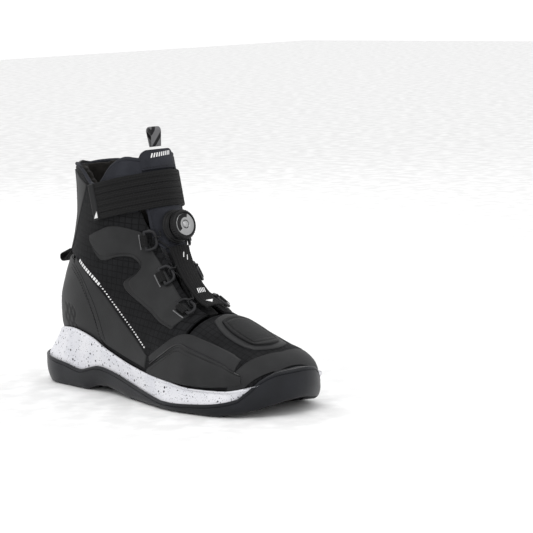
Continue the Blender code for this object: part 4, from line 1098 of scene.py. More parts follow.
# ---- Heel badge --------------------------------------------------------------------------------
# A glossy black recess on the inner side of the heel, with two cords of piping sweeping round it.
badge_low, badge_high = [(-121, 52), (-104, 55), (-88, 57)], [(-124, 84), (-112, 90), (-101, 85)]
slab("heel_badge", gloss, "boot", "gloss_black", side_patch(MEDIAL, badge_low, badge_high, 60, 40), 0.02, 0.8,
     ["heel_badge_panel"], soft=0.5)
for k, shift in enumerate((0.0, 3.2)):
    sweep = beside([(-112, 104), (-101, 92), (-90, 74), (-80, 58), (-72, 47)], -shift)
    finished(f"badge_piping_{k + 1}", tube_mesh("badge_piping", on_flank(MEDIAL, sweep, 1.5, 0.35), 0.8, 8),
             deep_grey, "boot")

# ---- Collar ------------------------------------------------------------------------------------
# Foam under brushed fleece lines the collar and rolls over its edge; the front lobes end in a thick
# bound piping of softshell.
fleece = Finish("collar_fleece", (0.009, 0.008, 0.007), 0.95, Sheen_Weight=0.03, Sheen_Roughness=0.6)
spot = fleece.place()
pile = fleece.noise(spot, 1100, 3)
tuft = fleece.noise(spot, 160, 3)
fleece.put("Base Color", fleece.blend(tuft.between(0.3, 0.7), (0.0042, 0.0036, 0.003), (0.0105, 0.0092, 0.008)))
fleece.bump(pile * 0.7 + tuft, 0.0007)


def padded_by_cloth(mesh, voxel, swell, frames=20):
    """Foam under cloth: the mesh is blown up a little under a limit, then smoothed."""
    pad = bpy.data.objects.new("padding", mesh)
    scene.collection.objects.link(pad)
    remesh = pad.modifiers.new("remesh", "REMESH")
    remesh.mode, remesh.voxel_size = "VOXEL", voxel * MM
    ready = pad.evaluated_get(bpy.context.evaluated_depsgraph_get())
    even = bpy.data.meshes.new_from_object(ready)
    pad.modifiers.clear()
    pad.data = even
    start = np.empty(len(even.vertices) * 3)
    even.vertices.foreach_get("co", start)
    start = start.reshape(-1, 3)
    cloth = pad.modifiers.new("cloth", "CLOTH")
    cloth.settings.use_pressure = True
    cloth.settings.uniform_pressure_force = 4
    cloth.settings.effector_weights.gravity = 0
    cloth.settings.quality = 5
    for number in range(1, frames + 1):
        scene.frame_set(number)
    ready = pad.evaluated_get(bpy.context.evaluated_depsgraph_get())
    blown = bpy.data.meshes.new_from_object(ready)
    moved = np.empty(len(blown.vertices) * 3)
    blown.vertices.foreach_get("co", moved)
    shift = moved.reshape(-1, 3) - start
    size = np.linalg.norm(shift, axis=1, keepdims=True)
    shift *= np.minimum(1.0, swell * MM / np.maximum(size, 1e-9))
    pad.modifiers.clear()
    scene.frame_set(1)
    pad.data = even
    even.vertices.foreach_set("co", (start + shift).ravel())
    smoother = pad.modifiers.new("finer", "SUBSURF")
    smoother.levels = smoother.render_levels = 1
    ready = pad.evaluated_get(bpy.context.evaluated_depsgraph_get())
    result = bpy.data.meshes.new_from_object(ready)
    pad.modifiers.clear()
    bpy.data.objects.remove(pad, do_unlink=True)
    result.transform(Matrix.Scale(1 / MM, 4))
    return result


def collar_points(low, rise, rows, step=2.5, spread=142):
    grid = []
    for degrees in np.arange(-spread, spread + 0.1, step):
        angle = math.radians(degrees)
        top = 190.0
        for _ in range(12):
            top = 0.5 * top + 0.5 * (collar_height(around(angle, top).x) + rise)
        grid.append([tuple(around(angle, low + (top - low) * i / (rows - 1))) for i in range(rows)])
    return np.array(grid)


collar_mesh = slab_mesh("collar_lining", collar_points(134.0, 0.6, 24), -SHELL - 6.2, -SHELL - 1.3, soft=1.2)
collar_mesh.transform(Matrix.Scale(MM, 4))
lining = finished("collar_lining", padded_by_cloth(collar_mesh, 3.0, 1.2), fleece.material, "boot",
                  ["collar_padding"])

knit = Finish("softshell", (0.015, 0.0158, 0.0195), 0.78, Sheen_Weight=0.03, Sheen_Roughness=0.45)
spot = knit.place()
_, u, v = knit.cloth()
loops = (u * 11000).wave() * (v * 11000).wave()
cloud = knit.noise(spot, 55, 4)
high = knit.node("ShaderNodeSeparateXYZ", {}, [spot], 2)
navy = knit.blend(cloud.between(0.3, 0.72), (0.0165, 0.0175, 0.0228), (0.0290, 0.0307, 0.0385))
knit.put("Base Color", knit.blend(high.between(0.117, 0.121), (0.0055, 0.0056, 0.0062), navy))
knit.put("Roughness", 0.74 + cloud * 0.12)
knit.bump(loops * 0.3 + knit.noise(spot, 1800, 2), 0.00025)
softshell = knit.material

lobe_height = smooth_curve((-60, 174), (-50, 172.5), (-43.4, 177.5), (-37, 186), (-32.5, 190.6), (-23, 195.6),
                           (-17, 194.5), (-11, 193.5))
for side, word in SIDES:
    rim = []
    for x in np.arange(-60, -11.5, 1.5):
        z = lobe_height(x)
        p = flank(side, x, z)
        rim.append(tuple(p + Vector((0, -side * 1.2, 0.3))))
    finished("collar_piping_" + word, tube_mesh("collar_piping", evenly(rim, 1.2), 1.7, 12), softshell, "boot")
back_rim = []
for degrees in np.arange(-96, 96.1, 3):
    angle = math.radians(degrees)
    top = 188.0
    for _ in range(12):
        top = 0.5 * top + 0.5 * (collar_height(around(angle, top).x) + 0.4)
    p = around(angle, top)
    inward = (SHAFT_AXIS - p)
    inward.z = 0
    back_rim.append(tuple(p + inward.normalized() * 1.5))
finished("collar_edge", tube_mesh("collar_edge", evenly(back_rim, 1.2), 1.5, 12), softshell, "boot")

# a softshell lobe on each side in front of the ankle, over the ripstop
lobe_low = [(-55, 150), (-46, 149), (-36, 149.5), (-26, 151), (-17, 152), (-11.5, 153)]
lobe_high = [(x, lobe_height(x) - 0.6) for x in (-56, -50, -46, -41, -36, -31, -26, -20, -15, -12)]
for side, word in SIDES:
    slab("collar_lobe_" + word, softshell, "boot", "softshell", side_patch(side, lobe_low, lobe_high, 60, 40), -2.4,
         0.8, soft=0.8, relief=lambda row, column: 0.5 * math.sin(math.pi * min(1.0, row * 1.3)) ** 0.5)

# ---- Tongue ------------------------------------------------------------------------------------
# A long padded tongue of softshell over foam.  It tilts forward at its root when the boot is
# opened, and carries the dial, its padded shield and the strip over the laces.
def front_rows(s_from, s_to, rows, half_width, columns, round_top=0.0):
    """A grid across the front between two sections; its top corners may be rounded."""
    def place(i, j):
        s = s_from + (s_to - s_from) * i
        wide = half_width(s)
        if round_top:
            over = max(0.0, (s - (s_to - round_top)) / round_top)
            wide *= 1 - 0.30 * over ** 3
        return front_point(s, wide * (2 * j - 1))
    return rows_of(rows, columns, place)


tongue_mesh = slab_mesh("tongue", front_rows(0.367, 1.0, 90, lambda s: throat_half_width(s) - 1.3, 31, 0.07),
                        -6.6, -0.9, soft=1.2)
tongue_mesh.transform(Matrix.Scale(MM, 4))
tongue = finished("tongue", padded_by_cloth(tongue_mesh, 3.0, 0.6), softshell, "tongue", ["tongue_pad"])

slab("tongue_top_cover", softshell, "tongue", "softshell",
     front_rows(0.945, 0.998, 30, smooth_curve((0.93, 18.5), (1.0, 16.5)), 40, 0.02), -0.2, 1.3,
     ["tongue_top_patch"], soft=0.7)
dashes = []
for k in range(9):
    middle = -9.5 + 2.3 * k
    place = lambda i, j: front_point(0.9755 + 0.011 * i + 0.0005 * k, middle + 1.1 * j + 1.5 * i)
    dashes.append(slab_mesh("dash", rows_of(4, 3, place), 1.3, 1.65, soft=0.05))
finished("tongue_dashes", joined("tongue_dashes", dashes), pale_print, "tongue", sharp=20)

shield_half = smooth_curve((0.66, 9), (0.685, 13.5), (0.72, 16.5), (0.76, 17.5), (0.83, 18.5))
shield_grid = front_rows(0.664, 0.83, 60, shield_half, 50)
dial_pad = slab("dial_pad", softshell, "tongue", "softshell", shield_grid, -0.2, 1.4, ["dial_shield"], soft=0.8,
     relief=lambda i, j: groove(min(j, 1 - j), 0.09, 0.02, 0.35) + groove(i, 0.09, 0.02, 0.35))


def front_line(places, lift):
    """A seam line over the tongue through (section, distance from the middle) places."""
    found = []
    for s, y in evenly(through(places, 80) * np.array([100, 1]), 1.0) / np.array([100, 1]):
        p, q = front_point(s, y), front_point(s, y + 0.2)
        r = front_point(s + 0.002, y) - front_point(s - 0.002, y)
        normal = (q - p).cross(r).normalized()
        found.append(tuple(p + (normal if normal.x + normal.z > 0 else -normal) * lift))
    return found


stitched("tongue_stitches", [
    front_line([(0.69, way * 11.5), (0.73, way * 14.4), (0.77, way * 15.6), (0.82, way * 16.6)], 1.45)
    for way in (-1, 1)]
    + [front_line([(0.952, -15.5), (0.952, 0), (0.952, 15.5)], 1.35)], thread, "tongue")

# ---- Ankle strap -------------------------------------------------------------------------------
# Wide elastic webbing, sewn down on the inner side with a boxed seam, drawn across the front and
# pressed onto hooks on the outer side.  Five rows of stitching run along it, and its end is a
# smooth moulded tab.
STRAP_THICKNESS, STRAP_HALF_WIDTH = 2.2, 15.0
STRAP_AXIS = Vector((-0.22, 0.0, 0.9755)).normalized()
STRAP_FRONT = Vector((-1.0, 0.0, 171.0))
STRAP_BASE, STRAP_HINGE, STRAP_FOLD, STRAP_END = -63.0, -47.0, 38.0, 92.0
strap_lift = smooth_curve((-63, 0.7), (-46, 0.7), (15, 0.8), (34, 2.1))

webbing_look = Finish("webbing", (0.012, 0.012, 0.0123), 0.76)
_, u, v = webbing_look.cloth()
ribs = (v * 5200).wave() * 0.6 + (u * 3400).wave() * 0.5
cloud = webbing_look.noise(webbing_look.place(), 70, 3)
webbing_look.put("Base Color", webbing_look.blend(ribs.between(-0.9, 0.9), (0.0042, 0.0042, 0.0044),
                                                  (0.0105, 0.0105, 0.0108)))
webbing_look.put("Roughness", 0.7 + cloud * 0.14)
webbing_look.bump(ribs, 0.00022)
webbing = webbing_look.material


def strap_spot(angle, across):
    forward = Vector((STRAP_AXIS.z, 0, -STRAP_AXIS.x))
    centre = STRAP_FRONT - forward * 52 + STRAP_AXIS * across
    outward = forward * math.cos(angle) + Vector((0, -math.sin(angle), 0))
    return cast(centre, -outward)


def strap_normal(angle):
    along = strap_spot(angle + 0.06, 0.0) - strap_spot(angle - 0.06, 0.0)
    n = along.cross(STRAP_AXIS).normalized()
    return n if n.dot(strap_spot(angle, 0.0) - STRAP_FRONT + Vector((50, 0, 0))) > 0 else -n


def strap_rows(start, end, half=STRAP_HALF_WIDTH, step=1.0, columns=61):
    """The strap's inner face between two angles, straight across its width."""
    grid = []
    count = max(4, int(abs(end - start) / step))
    for i in range(count + 1):
        degrees = start + (end - start) * i / count
        angle, lift = math.radians(degrees), strap_lift(degrees)
        n = strap_normal(angle)
        edges = [strap_spot(angle, across) for across in (-half, 0.0, half)]
        reach = max((p - STRAP_FRONT).dot(n) for p in edges)
        heights = [(p - STRAP_FRONT).dot(n) for p in edges]
        pins = [p + n * (lift + min(2.5, reach - h)) for p, h in zip(edges, heights)]
        row = []
        for j in range(columns):
            t = 2 * j / (columns - 1)
            a, b = (pins[0], pins[1]) if t < 1 else (pins[1], pins[2])
            row.append(tuple(a.lerp(b, t if t < 1 else t - 1)))
        grid.append(row)
    grid = np.array(grid)
    kernel = np.ones(5) / 5
    padded = np.concatenate([grid[:1].repeat(2, 0), grid, grid[-1:].repeat(2, 0)])
    smooth = sum(padded[k:k + len(grid)] * kernel[k] for k in range(5))
    smooth[0], smooth[-1] = grid[0], grid[-1]
    return smooth


def strap_relief(i, j):
    """Five sewn channels along the webbing."""
    return sum(groove(j, (k + 1) / 6, 0.012, 0.42) for k in range(5)) \
        - 0.35 * max(0.0, abs(2 * j - 1) - 0.93) / 0.07


base_grid = strap_rows(STRAP_BASE, STRAP_HINGE - 0.5)
tab_grid = strap_rows(STRAP_END - 11.4, STRAP_END)
slab("strap_root", webbing, "boot", "webbing", base_grid, 0.0, STRAP_THICKNESS - 0.1, ["strap_base"], soft=0.35,
     relief=strap_relief)
strap_whole = strap_rows(STRAP_HINGE + 0.3, STRAP_END - 12, step=0.8)
across_fold = ("strap_front", "strap_end", tuple(strap_spot(math.radians(STRAP_FOLD - 7), 0.0) * MM),
               tuple(strap_spot(math.radians(STRAP_FOLD + 7), 0.0) * MM))
slab("strap_webbing", webbing, across_fold, "webbing", strap_whole, 0.0, STRAP_THICKNESS - 0.1,
     ["strap_front", "strap_end"], soft=0.35, relief=strap_relief)
slab("strap_end_tab", deep_grey, "strap_end", "gloss_black", tab_grid, 0.0, STRAP_THICKNESS,
     ["strap_tab"], soft=0.5)


def strap_facings(grid):
    """Unit normals of a stretch of strap, pointing away from the ankle."""
    normals = facings(grid)
    return normals * (1 if np.sum(normals * (grid - np.array([-52.0, 0, 171]))) > 0 else -1)


def strap_seams(grid, lift):
    """Stitch lines down the five channels of a stretch of strap."""
    outward = strap_facings(grid)
    lines = []
    for k in range(5):
        j = round((k + 1) / 6 * (grid.shape[1] - 1))
        lines.append(evenly(grid[:, j] + outward[:, j] * lift, 1.0))
    return lines


strap_thread = grained("thread_strap", (0.004, 0.004, 0.0045), 0.6, grain=2500)
stitched("strap_stitches", strap_seams(strap_whole, STRAP_THICKNESS - 0.35), strap_thread, across_fold,
         pitch=2.4, length=1.9, thread=0.55)
box_lines = strap_seams(base_grid, STRAP_THICKNESS - 0.35)
lifted = base_grid + strap_facings(base_grid) * STRAP_THICKNESS
box_lines += [evenly(lifted[i, 4:-4], 1.0) for i in (2, len(lifted) - 3)]
box_lines += [evenly(lifted[2:-2, j], 1.0) for j in (4, 56)]
stitched("strap_box_stitches", box_lines, strap_thread, "boot", pitch=1.9, length=1.5, thread=0.55)
outward = strap_facings(tab_grid)
rows, width = tab_grid.shape[:2]
tri = []
for a in range(5):
    row = []
    for b in range(5):
        i, j = int((0.25 + 0.6 * a / 4) * (rows - 1)), int(0.06 * width + b / 4 * 0.17 * width * (1 - a / 4))
        row.append(tuple(tab_grid[i, j] + outward[i, j] * (STRAP_THICKNESS + 0.02)))
    tri.append(row)
finished("tab_mark", slab_mesh("tab_mark", np.array(tri), 0.0, 0.12, soft=0.0), pale_print, "strap_end",
         sharp=20)
loops_look = grained("hook_and_loop", (0.006, 0.006, 0.0065), 0.95, grain=1800, depth=0.0006)
loop_grid = strap_rows(STRAP_FOLD + 6.5, STRAP_END - 12, 13.0)
slab("loop_field", loops_look, "boot", "hook_and_loop", loop_grid, -1.7, -0.6, ["loop_patch"], soft=0.1)

# ---- Dial closure ------------------------------------------------------------------------------
# A ratchet dial winds the lace.  A stepped black housing sits on the tongue; the knob has a
# knurled rubber skirt and a bright face with a recessed crescent and a screw cap in its middle.
black_rubber = grained("knurled_rubber", (0.009, 0.009, 0.0095), 0.5, grain=1500)
housing = grained("dial_housing", (0.0065, 0.0065, 0.007), 0.42, grain=1400, depth=0.00006)
silver = grained("silver_face", (0.36, 0.362, 0.365), 0.3, grain=500, depth=0.00003, worn=1.1, Metallic=0.9)

DIAL_S = 0.742
seat = front_point(DIAL_S, 0.0)
seat_side, seat_up = front_point(DIAL_S, 0.2) - seat, front_point(DIAL_S + 0.002, 0) - front_point(DIAL_S - 0.002, 0)
dial_axis = seat_side.cross(seat_up).normalized()
if dial_axis.x < 0:
    dial_axis = -dial_axis
dial_base = seat + dial_axis * (1.9 + GAP)
DIAL_TURN = Matrix.Translation(dial_base) @ dial_axis.to_track_quat("Z", "Y").to_matrix().to_4x4()


def turned_mesh(name, profile, segments=96, wobble=None):
    """A solid of revolution about the dial's axis from (radius, height) points."""
    points, faces, count = [], [], len(profile)
    for k in range(segments):
        turn = 2 * math.pi * k / segments
        for r, h in profile:
            size = r + (wobble(turn, r, h) if wobble else 0.0)
            points.append(DIAL_TURN @ Vector((size * math.cos(turn), size * math.sin(turn), h)))
    for k in range(segments):
        m = (k + 1) % segments
        for i in range(count - 1):
            faces.append((k * count + i, m * count + i, m * count + i + 1, k * count + i + 1))
        if profile[0][0] > 0 and profile[-1][0] > 0:
            faces.append((k * count + count - 1, m * count + count - 1, m * count, k * count))
    mesh = bpy.data.meshes.new(name)
    mesh.from_pydata([tuple(p) for p in points], [], faces)
    return sealed(mesh, 0.005)


finished("dial_housing", turned_mesh("dial_housing", [
    (0, 3.6), (3.1, 3.6), (3.2, 3.5), (3.2, 1.9), (10.2, 1.9), (10.2, 4.6), (10.4, 4.8), (11.4, 4.8),
    (11.6, 4.6), (11.8, 3.6), (12.6, 3.2), (12.8, 2.9), (13.0, 1.6), (13.8, 1.2), (14.0, 0.9),
    (14.1, 0.2), (14.0, -0.1), (0, -0.1)]),
    housing, "tongue", ["dial_base"])


def knurl(turn, radius, height):
    """Ribs round the knob's skirt."""
    return 0.30 * math.cos(turn * 36) if radius > 11.9 and 7.4 < height < 11.4 else 0.0


finished("knob_skirt", turned_mesh("knob_skirt", [
    (1.8, 11.0), (9.6, 11.0), (9.6, 12.2), (9.9, 12.6), (10.5, 12.6), (11.2, 12.3), (11.7, 11.7),
    (12.1, 11.0), (12.25, 10.2), (12.3, 9.2), (12.3, 8.2), (12.2, 7.6), (11.9, 7.0), (11.6, 6.8),
    (10.6, 6.8), (10.6, 7.9), (1.8, 7.9)], 288, knurl),
    black_rubber, "dial_knob", ["dial_knob"])
finished("knob_face", turned_mesh("knob_face", [
    (3.5, 11.05), (3.5, 12.9), (3.7, 13.1), (5.2, 13.25), (8.2, 12.95), (9.1, 12.6), (9.4, 12.2), (9.4, 11.05)]),
    silver, "dial_knob")


def dial_arc(radius_in, radius_out, start, end, low, high, steps=40):
    """A flat piece of a ring on the dial's face."""
    points = [DIAL_TURN @ Vector((r * math.cos(a), r * math.sin(a), h))
              for a in np.linspace(math.radians(start), math.radians(end), steps)
              for r, h in ((radius_in, low), (radius_in, high), (radius_out, high), (radius_out, low))]
    faces = [(4 * i + k, 4 * i + (k + 1) % 4, 4 * i + 4 + (k + 1) % 4, 4 * i + 4 + k)
             for i in range(steps - 1) for k in range(4)]
    faces += [(0, 3, 2, 1), tuple(4 * (steps - 1) + k for k in range(4))]
    mesh = bpy.data.meshes.new("arc")
    mesh.from_pydata([tuple(p) for p in points], [], faces)
    return sealed(mesh)


arcs = [dial_arc(5.6, 9.0, 70, 215, 12.9, 13.35), dial_arc(9.75, 10.4, 20, 160, 12.5, 12.85)]
finished("knob_inlays", joined("knob_inlays", arcs), housing, "dial_knob")
finished("screw_cap", turned_mesh("screw_cap", [
    (0, 13.9), (1.5, 13.85), (2.5, 13.5), (3.1, 12.9), (3.2, 12.2), (1.5, 12.1), (1.5, 4.0), (0, 4.0)], 64),
    silver, "dial_carrier", ["dial_axle_screw"])
finished("spool_drum", turned_mesh("spool_drum", [
    (3.7, 4.5), (9.3, 4.5), (9.3, 4.2), (8.0, 3.9), (8.0, 2.9), (9.3, 2.6), (9.3, 2.3), (3.7, 2.3)], 64),
    housing, "dial_spool", ["dial_spool"])
finished("ratchet_teeth", turned_mesh("ratchet_teeth", [
    (4.3, 7.3), (9.7, 7.3), (9.7, 5.2), (4.3, 5.2)], 120,
    lambda turn, r, h: 0.15 * (((turn * 24 / math.pi) % 2) - 1) if r > 9 else 0.0),
    housing, "dial_carrier", ["dial_ratchet_ring"])

# ---- Lace guides -------------------------------------------------------------------------------
# Six moulded D-rings turn the lace.  Each is held by a folded tab of webbing sewn to the eyestay,
# with a paler keeper beside it.
GUIDE_SPOTS = ((0.718, 17.5), (0.572, 13.8), (0.43, 16.5))
GUIDE_LIFT, LACE_RADIUS = 3.7, 0.65
ring_plastic = grained("ring_plastic", (0.014, 0.014, 0.0155), 0.34, grain=900, depth=0.00005, worn=1.8)
keeper = grained("guide_keeper", (0.16, 0.16, 0.165), 0.5, grain=1200)


def tangent_frame(side, s, y):
    """Point, normal, upward and outboard directions on the eyestay."""
    p = front_point(s, side * y)
    rise = (front_point(s + 0.01, side * y) - front_point(s - 0.01, side * y)).normalized()
    out = front_point(s, side * (y + 1.0)) - p
    out = (out - rise * out.dot(rise)).normalized()
    normal = out.cross(rise) if side == MEDIAL else rise.cross(out)
    return p, (normal if normal.x + normal.z > 0 else -normal).normalized(), rise, out


RING = ((-4.6, 0), (-4.6, -3.2), (-3.0, -6.2), (0.2, -7.4), (3.9, -7.4), (4.6, -6.6), (4.6, 0),
        (4.6, 6.6), (3.9, 7.4), (0.2, 7.4), (-3.0, 6.2), (-4.6, 3.2))
for side, word in SIDES:
    for number, (s, y) in enumerate(GUIDE_SPOTS, 1):
        p, n, rise, out = tangent_frame(side, s, y)
        corners = [p + out * a + rise * b + n * GUIDE_LIFT for a, b in RING]
        loop = through([tuple(q) for q in corners + corners[:1]], 97)[:-1]
        name = f"guide_ring_{word}_{number}"
        finished(name, tube_mesh(name, loop, 1.25, 14, closed=True), ring_plastic, "boot",
                 [f"lace_guide_{word}_{number}"])
        bends = [math.pi * (0.5 + k / 16) for k in range(17)]
        fold = [(8.6, GUIDE_LIFT + 1.2)]
        fold += [(4.6 + 1.95 * math.cos(bend), GUIDE_LIFT + 1.95 * math.sin(bend)) for bend in bends]
        fold += [(8.6, GUIDE_LIFT - 1.95)]
        fold = evenly(fold, 0.5)
        rows = []
        for b in np.linspace(-4.6, 4.6, 14):
            rows.append([tuple(p + out * a[0] + n * a[1] + rise * b) for a in fold])
        sheet = np.array(rows)
        mesh = slab_mesh("tab", sheet, -0.3, 0.3, soft=0.08)
        name = f"guide_fold_{word}_{number}"
        finished(name, mesh, webbing, "boot", [f"guide_tab_{word}_{number}"])
        edge = [tuple(p + out * 9.6 + rise * b + n * 2.0) for b in np.linspace(-6.2, 6.2, 12)]
        edge = [tuple(cast(Vector(q), -n) + n * 1.5) for q in edge]
        name = f"guide_keeper_{word}_{number}"
        finished(name, tube_mesh(name, edge, 0.55, 8), keeper, "boot")

# ---- Lace --------------------------------------------------------------------------------------
# A thin coated steel cable runs from the dial round every ring and back, crossing twice under the
# centre strip.
def lace_route():
    def over(side, index, u, v, lift):
        s, y = GUIDE_SPOTS[index]
        p, n, rise, out = tangent_frame(side, s, y)
        return p + out * u + rise * v + n * lift

    def middle(s, y, lift):
        return front_point(s, y) + tangent_frame(MEDIAL, s, 0.05)[1] * lift

    low, high = 1.1, 2.5
    over_bar = GUIDE_LIFT + 1.25 + 0.3 + LACE_RADIUS
    under_bar = 1.45

    def hook(side, index, enter_up):
        v = 2.0 if enter_up else -2.0
        return [over(side, index, -8.5, v, over_bar - 1.6), over(side, index, -6.2, v, over_bar - 0.2),
                over(side, index, -4.6, v, over_bar), over(side, index, -2.7, v * 0.8, over_bar - 0.9),
                over(side, index, -2.2, 0.0, GUIDE_LIFT), over(side, index, -2.9, -v * 0.8, under_bar),
                over(side, index, -4.6, -v, under_bar), over(side, index, -7.0, -v, under_bar + 0.2)]

    def half(side, lift):
        other = -side
        first = [middle(0.742, side * 15.0, 4.6), middle(0.736, side * 14.6, 5.2)]
        first += hook(side, 0, True)
        cross_a = [middle(0.668, side * 9.5, 3.4), middle(0.640, side * 6.0, 2.1), middle(0.625, 0.0, lift),
                   middle(0.612, other * 4.0, lift - 0.3)]
        second = hook(other, 1, True)
        cross_b = [middle(0.522, other * 5.0, 1.9), middle(0.505, 0.0, lift), middle(0.488, side * 5.0, lift)]
        return first + cross_a + second + cross_b + hook(side, 2, True)

    there, back_again = half(LATERAL, low), half(MEDIAL, high)
    link = [middle(0.424, -7.0, 1.8), middle(0.421, 0.0, 1.5), middle(0.424, 7.0, 1.8)]
    return there + link + back_again[::-1]


cable = Finish("lace_cable", (0.008, 0.008, 0.0085), 0.35)
_, u, v = cable.cloth()
strands = (u * 5200 + v * 1600).wave()
cable.put("Base Color", cable.blend(strands.between(-0.8, 0.8), (0.006, 0.006, 0.0065), (0.02, 0.02, 0.021)))
cable.put("Roughness", 0.3 + strands * 0.06)
cable.bump(strands, 0.00012)
route = [tuple(p) for p in lace_route()]
lace_line = through(route, (len(route) - 1) * 6 + 1)
with_tongue = ("boot", "tongue", tuple(front_point(0.60, 0.0) * MM), tuple(front_point(0.74, 0.0) * MM))
finished("lace", tube_mesh("lace", lace_line, LACE_RADIUS, 8), cable.material, with_tongue, ["closure_lace"])

# ---- Centre strip ------------------------------------------------------------------------------
# A smooth strip of coated webbing covers the crossings of the lace, printed with small slanted
# marks and a pointed end mark.
strip_half = smooth_curve((0.375, 8.0), (0.40, 8.6), (0.50, 7.4), (0.62, 7.6), (0.66, 8.2))
strip_grid = front_rows(0.375, 0.665, 90, strip_half, 24)
slab("lace_cover", webbing, "tongue", "strip_webbing", strip_grid, 4.1, 5.5, ["centre_strip"], soft=0.4)
marks = []
for s0, count, offset in ((0.612, 1, -1.2), (0.60, 1, 1.0), (0.455, 5, -3.4)):
    for k in range(count):
        place = lambda i, j: front_point(s0 + 0.020 * i, offset + 1.5 * k + 0.75 * j + 1.2 * i)
        marks.append(slab_mesh("mark", rows_of(5, 3, place), 5.5, 5.66, soft=0.02))
place = lambda i, j: front_point(0.392 + 0.018 * i, (-3.6 + 7.2 * j) * i + 0.01 * j)
marks.append(slab_mesh("mark", rows_of(6, 5, place), 5.5, 5.66, soft=0.02))
finished("strip_marks", joined("strip_marks", marks), pale_print, "tongue", sharp=20)
strip_seams = [front_line([(0.385, way * 5.2), (0.45, way * 5.0), (0.55, way * 4.9), (0.65, way * 5.6)], 5.5)
               for way in (-1, 1)]
stitched("strip_stitches", strip_seams, thread, "tongue", pitch=2.2, length=1.7)

# ---- Pull loops --------------------------------------------------------------------------------
# Loops of narrow webbing at the top of the tongue and the back of the heel, for drawing the boot on.
striped = Finish("striped_webbing", (0.1, 0.1, 0.1), 0.7)
_, u, v = striped.cloth()
slant = (u * 1.0 + v * 0.8).away(0.011)
bands = 1.0 - slant.between(0.0016, 0.0022)
ribs = (v * 5200).wave() * (u * 5200).wave()
striped.put("Base Color", striped.blend(bands, (0.15, 0.15, 0.155), (0.010, 0.010, 0.011)))
striped.put("Roughness", 0.68 + ribs * 0.06)
striped.bump(ribs, 0.0002)


def loop_mesh(name, foot, outward, spread, across, height, width):
    """A standing loop of webbing: two legs from its foot, joined by a round top."""
    radius, foot_half, foot_rise = 3.2, 1.2, 0.5

    def leg(way, share):
        aside = foot_half + (radius - foot_half) * share
        return foot + spread * way * aside + outward * (foot_rise + (height - radius - foot_rise) * share)

    line = [leg(-1, k / 8) for k in range(9)]
    line += [foot + outward * (height - radius) + (-spread * math.cos(math.pi * k / 24)
             + outward * math.sin(math.pi * k / 24)) * radius for k in range(1, 24)]
    line += [leg(1, k / 8) for k in range(8, -1, -1)]
    grid = np.array([[tuple(p + across * (width * (j / 10 - 0.5))) for j in range(11)] for p in line])
    return slab_mesh(name, grid, -0.55, 0.55, soft=0.15)


tongue_foot = front_point(1.0, 0.0) + Vector((-3.6, 0, 0.8))
finished("tongue_loop", loop_mesh("tongue_loop", tongue_foot, Vector((-0.12, 0, 0.993)), Vector((0.993, 0, 0.12)),
                                  Vector((0, 1, 0)), 16.5, 10.0), striped.material, "tongue_pull",
         ["tongue_pull"])
heel_foot = Vector((-124.627, -0.808, 111.44))
finished("heel_loop", loop_mesh("heel_loop", heel_foot, Vector((-0.86, 0, -0.51)).normalized(),
                                Vector((-0.51, 0, 0.86)).normalized(), Vector((0, 1, 0)), 17.0, 10.0),
         webbing, "heel_pull", ["heel_pull"])
grid = rows_of(50, 12, lambda i, j: from_behind(-6.5 + 13 * j, 117 + 67 * i))
slab("heel_tape", webbing, "boot", "webbing", grid, -0.3, 1.6, ["heel_strap"], soft=0.4)
tape = grid + np.array([-1.7, 0, 0])
stitched("heel_tape_stitches", [evenly(tape[:, j], 1.0) for j in (1, 10)], thread, "boot")

# ---- Footbed and hidden pieces -----------------------------------------------------------------
# A moulded foam footbed under knit lies on the board; stiffeners, shank and ankle discs are sealed
# inside the upper.
knit_grey = Finish("footbed_knit", (0.03, 0.03, 0.032), 0.9)
spot = knit_grey.place()
mesh_holes = knit_grey.node("ShaderNodeTexVoronoi", {}, {"Vector": spot, "Scale": 520}, "Distance")
knit_grey.put("Base Color", knit_grey.blend(mesh_holes.between(0.15, 0.5), (0.012, 0.012, 0.014),
                                            (0.04, 0.04, 0.043)))
knit_grey.bump(mesh_holes, 0.0003)


def at(rise):
    return lambda x, side: floor_height(x) + rise


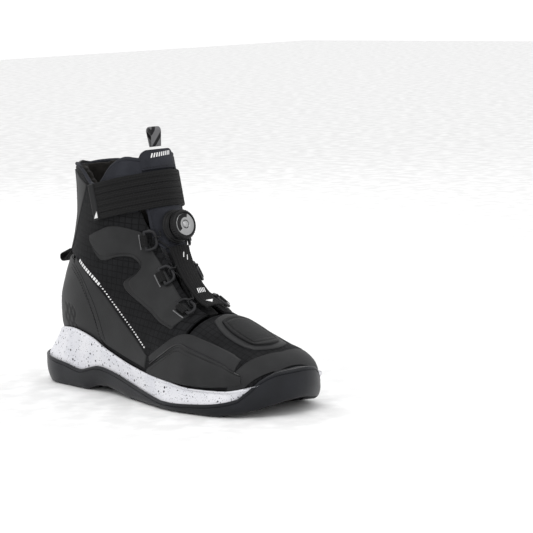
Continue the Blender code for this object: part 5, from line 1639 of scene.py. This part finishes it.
FOOTBED_FOOT = GAP + 2.0 + 0.9 + 1.2 + 0.8
finished("insole", layered_mesh("insole", [
    hugging_ring(-inset, at(FOOTBED_FOOT + rise)) for inset, rise in (
        (8.2, 0.0), (7.4, 1.2), (7.4, 2.8), (7.7, 3.7), (9.0, 4.0), (14.0, 3.9))]),
    knit_grey.material, "footbed", ["footbed"])
hidden = {
    "lasting_board": grained("fibre_board", (0.35, 0.30, 0.24), 0.9, grain=700),
    "steel_shank": grained("shank_steel", (0.6, 0.6, 0.62), 0.35, grain=500, depth=0.00004, Metallic=0.9),
    "toe_puff": grained("toe_stiffener", (0.7, 0.7, 0.66), 0.6, grain=900),
    "heel_counter": grained("heel_stiffener", (0.7, 0.7, 0.66), 0.6, grain=900),
    "ankle_guard_lateral": grained("guard_foam", (0.25, 0.25, 0.27), 0.85, grain=600, depth=0.0005),
}
hidden["ankle_guard_medial"] = hidden["ankle_guard_lateral"]
for node, look in hidden.items():
    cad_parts[node].material_slots[0].material = look

# ---- Floor and light ---------------------------------------------------------------------------
# A pale floor that meets a pale surround, one broad soft light above and two gentler ones.
floor_mesh = bpy.data.meshes.new("floor")
SPAN, FLOOR_Z = 6.0, -0.0002
floor_mesh.from_pydata([(-SPAN, -SPAN, FLOOR_Z), (SPAN, -SPAN, FLOOR_Z), (SPAN, SPAN, FLOOR_Z),
                        (-SPAN, SPAN, FLOOR_Z)], [], [(0, 1, 2, 3)])
floor = bpy.data.objects.new("floor", floor_mesh)
scene.collection.objects.link(floor)
floor_mesh.materials.append(grained("floor_paper", (0.90, 0.90, 0.90), 0.9, grain=300, depth=0.00002, worn=1.02))
world = bpy.data.worlds.new("surround")
scene.world = world
world.use_nodes = True
world.node_tree.nodes["Background"].inputs["Color"].default_value = (1, 1, 1, 1)
world.node_tree.nodes["Background"].inputs["Strength"].default_value = 1.05
scene.view_settings.view_transform = "Standard"


def soft_light(name, place, size, watts):
    lamp = bpy.data.lights.new(name, "AREA")
    lamp.shape, lamp.size, lamp.energy = "DISK", size, watts
    holder = bpy.data.objects.new(name, lamp)
    scene.collection.objects.link(holder)
    holder.location = place
    holder.rotation_mode = "QUATERNION"
    holder.rotation_quaternion = (Vector((0, 0, 0.08)) - Vector(place)).to_track_quat("-Z", "Y")


soft_light("key", (0.5, -0.9, 1.5), 0.9, 7)
soft_light("fill", (1.3, 0.2, 0.7), 0.9, 2)
soft_light("rim", (-1.2, 0.6, 1.1), 0.8, 4)
